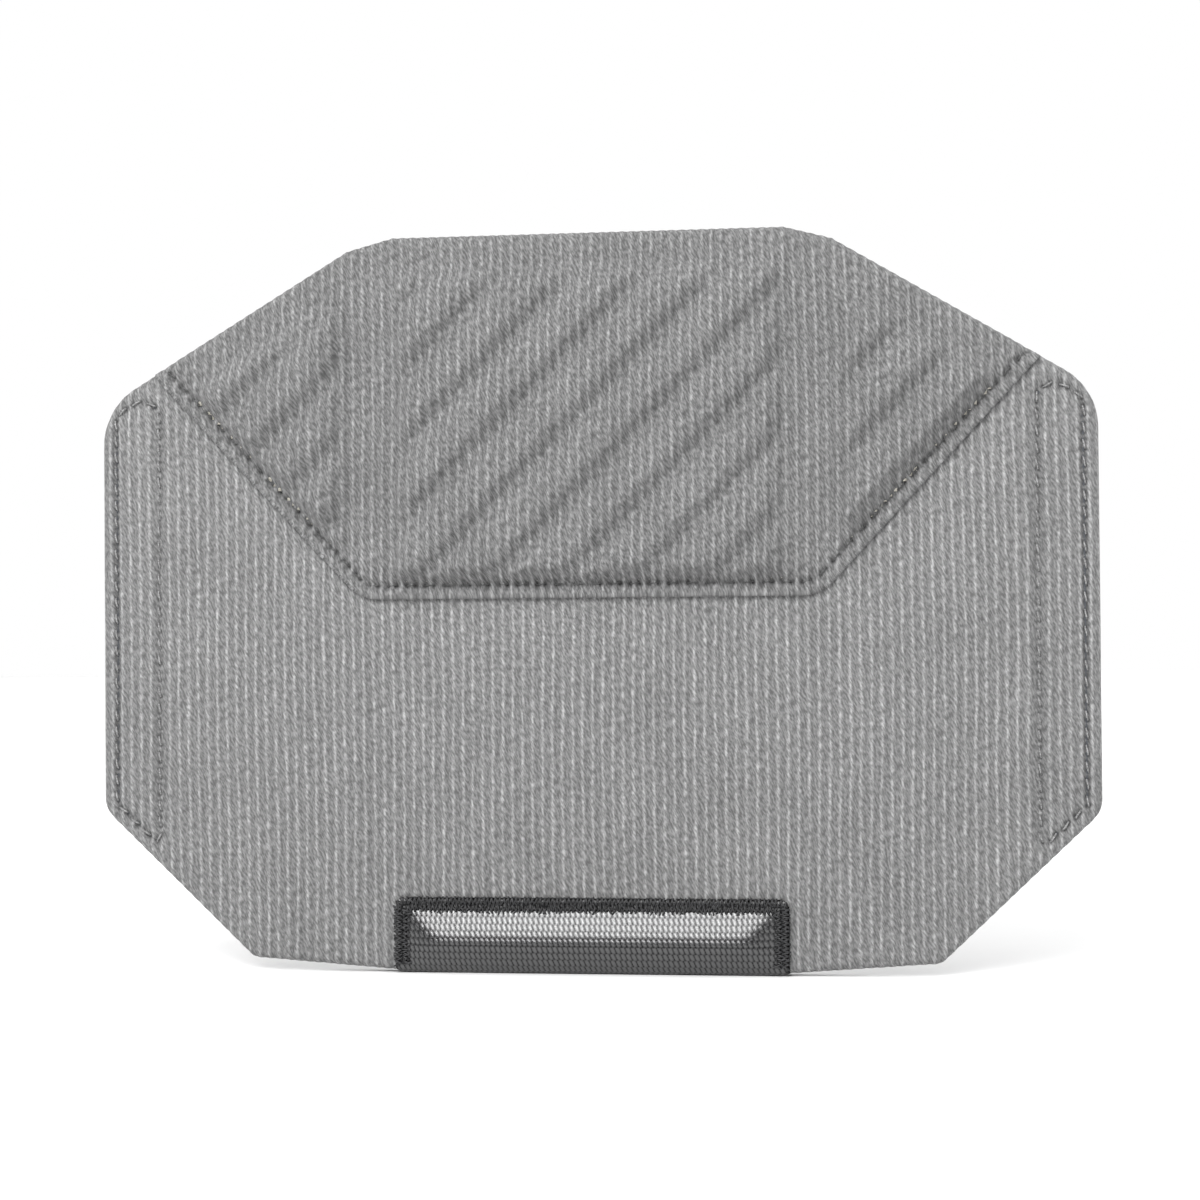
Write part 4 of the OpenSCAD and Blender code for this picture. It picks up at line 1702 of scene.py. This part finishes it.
@dataclass
class Grip:
    """The ribbon grip on the bottom edge: a coarse satin over a ridge, with a zigzag round it.

    Attributes:
        layout: The sizes.
        border: Width of the sewn border.
        slope: Width of the ridge's slope at its top and its ends.
        low_slope: Width of the slope below the ridge.
        ridge: Height of the ridge.
        sharpness: How sharply the ridge's slopes meet.
        float_pitch: Distance between two floats across and up.
        float_lean: Lean of the columns of floats.
        cell: Size of the ribbon's grid across and up.
        flap_lift: How far the rear flap stands out over the hem beside it.
        zigzag_pitch: Distance between two stitches of the zigzag.
        zigzag_lean: Lean of its stitches.
        zigzag_rows: Distance of each row from the ribbon's edge, and how ragged its ends are.
        seed: Start of the random draws of the zigzag.
    """

    layout: Layout
    border: float = 0.0036
    slope: float = 0.0088
    low_slope: float = 0.0054
    ridge: float = 0.0040
    sharpness: float = 5.5
    float_pitch: tuple[float, float] = (0.00157, 0.0021)
    float_lean: float = math.radians(20)
    cell: tuple[float, float] = (0.00026, 0.00034)
    flap_lift: float = 0.00045
    zigzag_pitch: float = 0.00062
    zigzag_lean: float = math.radians(24)
    zigzag_rows: tuple[tuple[float, float], ...] = ((0.0011, 0.0001), (0.0032, 0.00055))
    seed: int = 4

    def rise(self, x: Array, z: Array) -> Array:
        """Height of the ridge under the ribbon, like a hip roof with soft edges."""
        half = self.layout.grip_half - self.border
        high = self.layout.bottom + self.layout.grip_height - self.border
        low = self.layout.bottom + 0.0015
        above, beside = (high - z) / self.slope, (half - np.abs(x)) / self.slope
        below = (z - low) / self.low_slope
        shares = np.clip(np.stack([above, below, beside, np.ones(len(x))]), -0.5, None)
        soft = -np.log(np.exp(-self.sharpness * shares).sum(0)) / self.sharpness
        return self.ridge * np.clip(soft + 0.06, 0, None)

    def weave(self, u: Array, v: Array) -> Array:
        """Height of the floats from 0 between them to 1 on top, in a brick pattern that leans."""
        wide, tall = self.float_pitch
        b = v / tall
        row = np.floor(b)
        a = (u + v * math.tan(self.float_lean)) / wide + 0.5 * (row % 2)
        across, along = a - np.floor(a) - 0.5, b - row - 0.5
        row_height = 0.3 + 0.7 * np.clip(np.cos(along * math.pi), 0, 1) ** 0.4
        return np.clip(np.cos(across * math.pi), 0, 1) ** 0.7 * row_height

    def web(self) -> bpy.types.Object:
        """Makes the ribbon itself, from its sewn top edge round the bottom edge to the end of its rear flap.

        Returns:
            The piece.
        """
        front = self.layout.face + self.layout.ribbon
        roll = Roll(front, radius=0.0033, back=0.0022, hem=self.layout.grip_rear - 0.0011)
        half = self.layout.grip_half
        turn = self.layout.bottom - self.layout.ribbon + roll.radius
        low, high = turn - roll.length, self.layout.bottom + self.layout.grip_height
        cells = (round(2 * half / self.cell[0]), round((high - low) / self.cell[1]))
        bm = flat_grid((-half, low), (half, high), cells)
        below = low - 0.01
        corners = [(-half, below), (half, below), (half, high), (-half, high)]
        shape = Outline(corners).rounded([0, 0, 0.003, 0.003])
        cut_out(bm, lambda p: shape.nearest(p)[0] > 0)
        piece = piece_from(bm, "grip_web")
        flat = points_of(piece.data)[:, ::2]
        x, v = flat[:, 0], flat[:, 1]
        out, deep, sideways, forwards = roll.wrap(turn - v)
        deep = deep - self.flap_lift * smooth(1 - (deep - 0.001) / 0.003)
        z = np.where(v < turn, turn - out, v)
        floats = self.weave(x, v)
        edge = np.minimum(smooth((half - np.abs(x)) / 0.0016), smooth((high - v) / 0.0016))
        ridge = self.rise(x, v) * (v > turn - 0.002)
        height = ridge + 0.0002 * (floats - 0.6) - 0.0006 * (1 - edge)
        points = np.stack([x, -deep - forwards * height, z - sideways * height], 1)
        set_uv(piece.data, "cloth", flat)
        set_points(piece.data, points)
        # The float height is also read by the ribbon's material as its painted highlight
        set_value(piece.data, "rib", floats * edge)
        return piece

    def threads(self) -> bpy.types.Object:
        """Sews the dense zigzag round the top and the ends of the grip."""
        rng = np.random.default_rng(self.seed)
        made = []
        for inset, ragged in self.zigzag_rows:
            half = self.layout.grip_half - inset
            low, high = self.layout.bottom + 0.002, self.layout.bottom + self.layout.grip_height - inset
            corners = [(-half, low), (half, low), (half, high), (-half, high)]
            line = Outline(corners).rounded([0, 0, 0.002, 0.002]).points[::-1]
            line = np.roll(line, -int(np.argmin(line[:, 0] + line[:, 1])), 0)
            for i, (p, r) in enumerate(zip(*walk(line, self.zigzag_pitch))):
                lean = self.zigzag_lean * (1 if i % 2 else -1) + rng.normal(0, 0.15)
                across = Vector((-r[1], 0, r[0]))
                across.rotate(Matrix.Rotation(lean, 3, "Y"))
                depth = -self.layout.face - self.layout.ribbon - 0.0001 - abs(rng.normal(0, 0.00012))
                place = Vector((p[0], depth, p[1])) + across * rng.normal(0, ragged)
                made.append((place, across, FORWARDS))
        stitch = Stitch(length=0.0027, radius=0.00028, rise=0.0006, lean=0.0)
        half, flap = self.layout.grip_half, self.layout.bottom + self.layout.grip_rear
        # Two plain rows hold the rear flap
        for z in (flap - 0.0016, flap - 0.0042):
            made += stitch_places(*walk(np.array([(-half, z), (half, z)]), 0.0036), 0.0005, BACKWARDS)
        return stitch.sewn("grip_thread", made)


# -------------------------------------------------------------------- the stage


@dataclass(frozen=True)
class Stage:
    """Pale floor, soft light from above and the camera.

    Attributes:
        lens: Focal length of the camera.
        distance: Distance of the camera from the panel's face.
        front: Depth of the panel's face in front of its rear face.
        aim: Where the panel's middle lies in the view, across and up.
        yaw: Turn of the view about the upright axis.
        pitch: Tilt of the view.
        roll: Turn of the picture.
        floor_size: Half the side of the floor.
        sky: Strength of the sky's light.
    """

    lens: float = 70.0
    distance: float = 0.700
    front: float = 0.007
    aim: tuple[float, float] = (-0.0036, -0.0003)
    yaw: float = math.radians(7.38)
    pitch: float = math.radians(0.95)
    roll: float = math.radians(0.43)
    floor_size: float = 6.0
    sky: float = 0.22

    def camera(self) -> None:
        """Sets the camera that looks at the object."""
        angles = (self.yaw, self.pitch, self.roll)
        cy, sy, cp, sp, cr, sr = (f(a) for a in angles for f in (math.cos, math.sin))
        about_up = Matrix(((cy, 0, sy), (0, 1, 0), (-sy, 0, cy)))
        about_side = Matrix(((1, 0, 0), (0, cp, -sp), (0, sp, cp)))
        about_view = Matrix(((cr, -sr, 0), (sr, cr, 0), (0, 0, 1)))
        turn = about_view @ about_side @ about_up
        at = -(turn.transposed() @ Vector((*self.aim, self.distance)))
        right, up, ahead = (Vector((r[0], r[2], r[1])) for r in turn)
        data = bpy.data.cameras.new("camera")
        data.lens, data.sensor_width, data.clip_start = self.lens, 36.0, 0.01
        camera = bpy.data.objects.new("camera", data)
        bpy.context.scene.collection.objects.link(camera)
        axes = Matrix((right, up, -ahead)).transposed().to_4x4()
        camera.matrix_world = Matrix.Translation((at.x, at.z - self.front, at.y)) @ axes
        bpy.context.scene.camera = camera

    def floor(self, height: float) -> None:
        """Lays the floor.

        Args:
            height: Height of the object's lowest point.
        """
        bm = bmesh.new()
        place = Matrix.Translation((0, 0, height))
        bmesh.ops.create_grid(bm, x_segments=4, y_segments=4, size=self.floor_size, matrix=place)
        floor = piece_from(bm, "floor", shade_smooth=False)
        mat = new_material("floor_white_painted_board", roughness=0.9)
        grain = {"Scale": 30.0, "Detail": 3.0}
        where = add_node(mat, "ShaderNodeTexCoord").outputs["Object"]
        noise = add_node(mat, "ShaderNodeTexNoise", grain, Vector=where).outputs["Fac"]
        feed(mat, Base_Color=tones(mat, noise, {0.0: "#f6f6f6", 1.0: "#fbfbfb"}))
        floor.data.materials.append(mat)
        floor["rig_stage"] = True

    def light(self, name: str, at: tuple[float, float, float], size: float, power: float) -> None:
        """Hangs a soft light that faces the object.

        Args:
            name: The light's name.
            at: Its place.
            size: Side of its square.
            power: Its power in watts.
        """
        data = bpy.data.lights.new(name, "AREA")
        data.shape, data.size, data.energy = "SQUARE", size, power
        lamp = bpy.data.objects.new(name, data)
        bpy.context.scene.collection.objects.link(lamp)
        lamp.location = at
        lamp.rotation_mode = "QUATERNION"
        lamp.rotation_quaternion = (-Vector(at)).to_track_quat("-Z", "Y")

    def lights(self) -> None:
        """Sets the sky, which is plain white to the camera, and hangs the soft lights."""
        scene = bpy.context.scene
        scene.view_settings.view_transform = "Standard"
        world = bpy.data.worlds.new("studio")
        world.use_nodes = True
        tree = world.node_tree
        sky = tree.nodes["Background"]
        seen = tree.nodes.new("ShaderNodeBackground")
        for background, strength in ((sky, self.sky), (seen, 1.0)):
            background.inputs["Color"].default_value = (1, 1, 1, 1)
            background.inputs["Strength"].default_value = strength
        path = tree.nodes.new("ShaderNodeLightPath")
        mix = tree.nodes.new("ShaderNodeMixShader")
        tree.links.new(path.outputs["Is Camera Ray"], mix.inputs["Fac"])
        tree.links.new(sky.outputs[0], mix.inputs[1])
        tree.links.new(seen.outputs[0], mix.inputs[2])
        tree.links.new(mix.outputs[0], tree.nodes["World Output"].inputs["Surface"])
        scene.world = world
        self.light("key", at=(-0.13, -0.86, 0.62), size=0.56, power=11.0)
        self.light("ceiling", at=(0.0, -0.4, 3.0), size=14.0, power=620.0)
        self.light("far_ceiling", at=(0.0, 9.0, 4.0), size=10.0, power=330.0)


# ------------------------------------------------------------------ putting on


def flat_size(piece: bpy.types.Object) -> tuple[tuple[float, float], float]:
    """Measures the flat cut of a cloth from its UV map.

    Args:
        piece: The cloth.

    Returns:
        The width and length of the cut's box, and the cut's area.
    """
    mesh = piece.data
    mesh.calc_loop_triangles()
    uv = np.empty(len(mesh.loops) * 2, np.float32)
    mesh.uv_layers["cloth"].data.foreach_get("uv", uv)
    uv = uv.reshape(-1, 2).astype(float)
    index = np.empty(len(mesh.loop_triangles) * 3, np.int32)
    mesh.loop_triangles.foreach_get("loops", index)
    a, b, c = (uv[index.reshape(-1, 3)[:, k]] for k in range(3))
    area = float(np.abs((b - a)[:, 0] * (c - a)[:, 1] - (b - a)[:, 1] * (c - a)[:, 0]).sum() / 2)
    size = uv.max(0) - uv.min(0)
    return (float(size[0]), float(size[1])), area


def frame_nodes() -> dict[str, bpy.types.Object]:
    """The frame's own pieces by node name."""
    return {o["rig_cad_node"]: o for o in bpy.context.scene.objects if "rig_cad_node" in o}


class Finishes:
    """The materials of the visible pieces and of the layers inside."""

    def __init__(self) -> None:
        """Builds every material once."""
        self.knit = RibKnit().material()
        # The yoke's cloth is a copy of the same knit, painted darker as shade on the yoke
        shaded_knit = RibKnit("rib_knit_stretched_over_pads", "#6c6c6c", "#575757", "#818181", wale=1.5)
        self.taut_knit = shaded_knit.material()
        # The yoke's topstitch and the tape loops are one thread in two copies: the topstitch copy, also used
        # for the hem seam, is painted darker as shade in the valley under the pads, and the tape copy is
        # painted lighter as lit thread
        self.topstitch = Yarn("polyester_topstitch_thread", "#3c3c3c", "#606060", 0.6).material()
        self.loopstitch = Yarn("polyester_tape_thread", "#5e5e5e", "#9c9c9c", 0.5).material()
        self.zigzag = Yarn("bright_nylon_zigzag_yarn", "#0f0f10", "#353537", 0.42, gloss=0.45).material()
        self.satin = Ribbon().material()
        lining = Plain("warp_knit_polyester_lining", "#4a4a4d", "#1c1c1e", 0.85, Pattern.MESH, 1.6)
        self.tricot = lining.material()
        moulded = Pattern.MOULDED
        self.hooks = Plain("moulded_nylon_hooks", "#2c2c2e", "#1b1b1d", 0.45, moulded, 0.6).material()
        self.soft = Plain("open_cell_comfort_foam", "#d8d4c8", "#8f8a7c", 0.95, Pattern.CELLS, 0.9).material()
        self.dense = Plain("closed_cell_pad_foam", "#cfcbc0", "#a39e90", 0.9, Pattern.CELLS, 0.5).material()
        self.board = Plain("moulded_polypropylene_core", "#3c3f44", "#33363a", 0.55, moulded, 1.2).material()

    def inner(self, node: str) -> bpy.types.Material:
        """The material of a node that stays visible as a layer inside."""
        if "core" in node:
            return self.board
        return self.dense if "filler" in node else self.soft


@dataclass
class Shop:
    """Builds every piece, puts it on the frame and reports it.

    Attributes:
        layout: The sizes.
        finishes: The materials.
        yoke: The padded yoke.
        panel: The main panel.
        grip: The ribbon grip.
        crossing_reach: Distance from a fold over which the cloth would bend, on either side; not used.
        least_fill: Smallest share of its box that a cut cloth is taken to fill.
        lining_area: Area of a half lining's cut; not used.
        pad_fill: How full a pad's cover is; not used.
    """

    layout: Layout
    finishes: Finishes
    yoke: Yoke
    panel: Panel
    grip: Grip
    crossing_reach: float = 0.006
    least_fill: float = 0.3
    lining_area: float = 0.029
    pad_fill: float = 0.9

    def crossing(self, piece: bpy.types.Object) -> None:
        """Bakes the placement of a half cloth or its stitches into its mesh."""
        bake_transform(piece)

    def finish(
        self, piece: bpy.types.Object, mat: bpy.types.Material, nodes: Sequence[str] = ()
    ) -> None:
        """Dresses a piece, hides the nodes that it stands for, and reports it.

        Args:
            piece: The piece.
            mat: Its material.
            nodes: The nodes that it replaces.
        """
        piece.data.materials.append(mat)
        if nodes:
            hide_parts(*nodes)
        piece.data.calc_loop_triangles()
        LOG.info("%s: %d triangles", piece.name, len(piece.data.loop_triangles))

    def stretch(self, cloth: bpy.types.Object, under: str) -> None:
        """Measures the flat cut of a half cloth; the result is not used."""
        (wide, tall), area = flat_size(cloth)
        area = max(area, self.least_fill * wide * tall)

    def dress_layers(self) -> None:
        """Gives the frame's own pieces their materials."""
        for node, shown in frame_nodes().items():
            shown.data.materials.clear()
            shown.data.materials.append(self.finishes.inner(node))

    def half(self, side: Side) -> None:
        """Builds the cloths of a half with their seams. The left half also stands for the centre's nodes."""
        word, made = side.word, self.finishes
        middle = ["centre"] if side is Side.LEFT else []
        sections = [word, *middle]
        face = self.panel.cloth(side)
        self.finish(face, made.knit, [f"face_panel_{w}" for w in sections])
        cover = self.yoke.cloth(side)
        self.finish(cover, made.taut_knit, [f"yoke_cover_{w}" for w in sections])
        lining = self.panel.lining(side)
        self.finish(lining, made.tricot, [f"rear_lining_{w}" for w in sections])
        topstitches = self.yoke.threads(side)
        self.finish(topstitches, made.topstitch, [f"yoke_topstitch_{w}" for w in sections])
        seam = self.panel.hem_threads(side)
        self.finish(seam, made.topstitch)
        for piece in (face, cover, lining, topstitches, seam):
            self.crossing(piece)
        self.stretch(face, f"core_plate_{word}")
        self.stretch(cover, f"yoke_foam_{word}")

    def tape(self, side: Side) -> None:
        """Builds the hook tape of a wing and its loop of stitches."""
        tape = self.panel.tape(side)
        self.finish(tape, self.finishes.hooks, [f"hook_tape_{side.word}"])
        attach(tape, f"{side.word}_wing")
        loop = self.panel.tape_threads(side)
        self.finish(loop, self.finishes.loopstitch, [f"hook_tape_stitches_{side.word}"])
        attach(loop, f"{side.word}_wing")

    def pads(self) -> None:
        """Builds the yoke's three foam pads."""
        sections = ((0, "centre", "centre"), (1, "right_wing", "right"), (-1, "left_wing", "left"))
        for key, body, node in sections:
            foam = self.yoke.foam(key)
            self.finish(foam, self.finishes.dense, [f"yoke_pad_{node}"])
            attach(foam, body)

    def ribbon_grip(self) -> None:
        """Builds the grip's ribbon and its stitches."""
        web = self.grip.web()
        self.finish(web, self.finishes.satin, ["grip_ribbon"])
        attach(web, "centre")
        (wide, tall), area = flat_size(web)
        area = min(area, wide * tall)
        zigzag = self.grip.threads()
        self.finish(zigzag, self.finishes.zigzag, ["grip_stitches"])
        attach(zigzag, "centre")


def main() -> None:
    """Builds the protector on the frame, piece by piece, and sets the stage."""
    logging.basicConfig(level=logging.INFO, format="%(message)s")
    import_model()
    layout, rib = Layout(), Rib()
    sewing = Sewing(layout)
    yoke, panel = Yoke(layout, rib, sewing), Panel(layout, rib, sewing)
    shop = Shop(layout, Finishes(), yoke, panel, Grip(layout))
    shop.dress_layers()
    for side in Side:
        shop.half(side)
        shop.tape(side)
    shop.pads()
    shop.ribbon_grip()

    stage = Stage()
    stage.floor(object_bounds()[0].z)
    stage.camera()
    stage.lights()


if __name__ == "__main__":
    main()
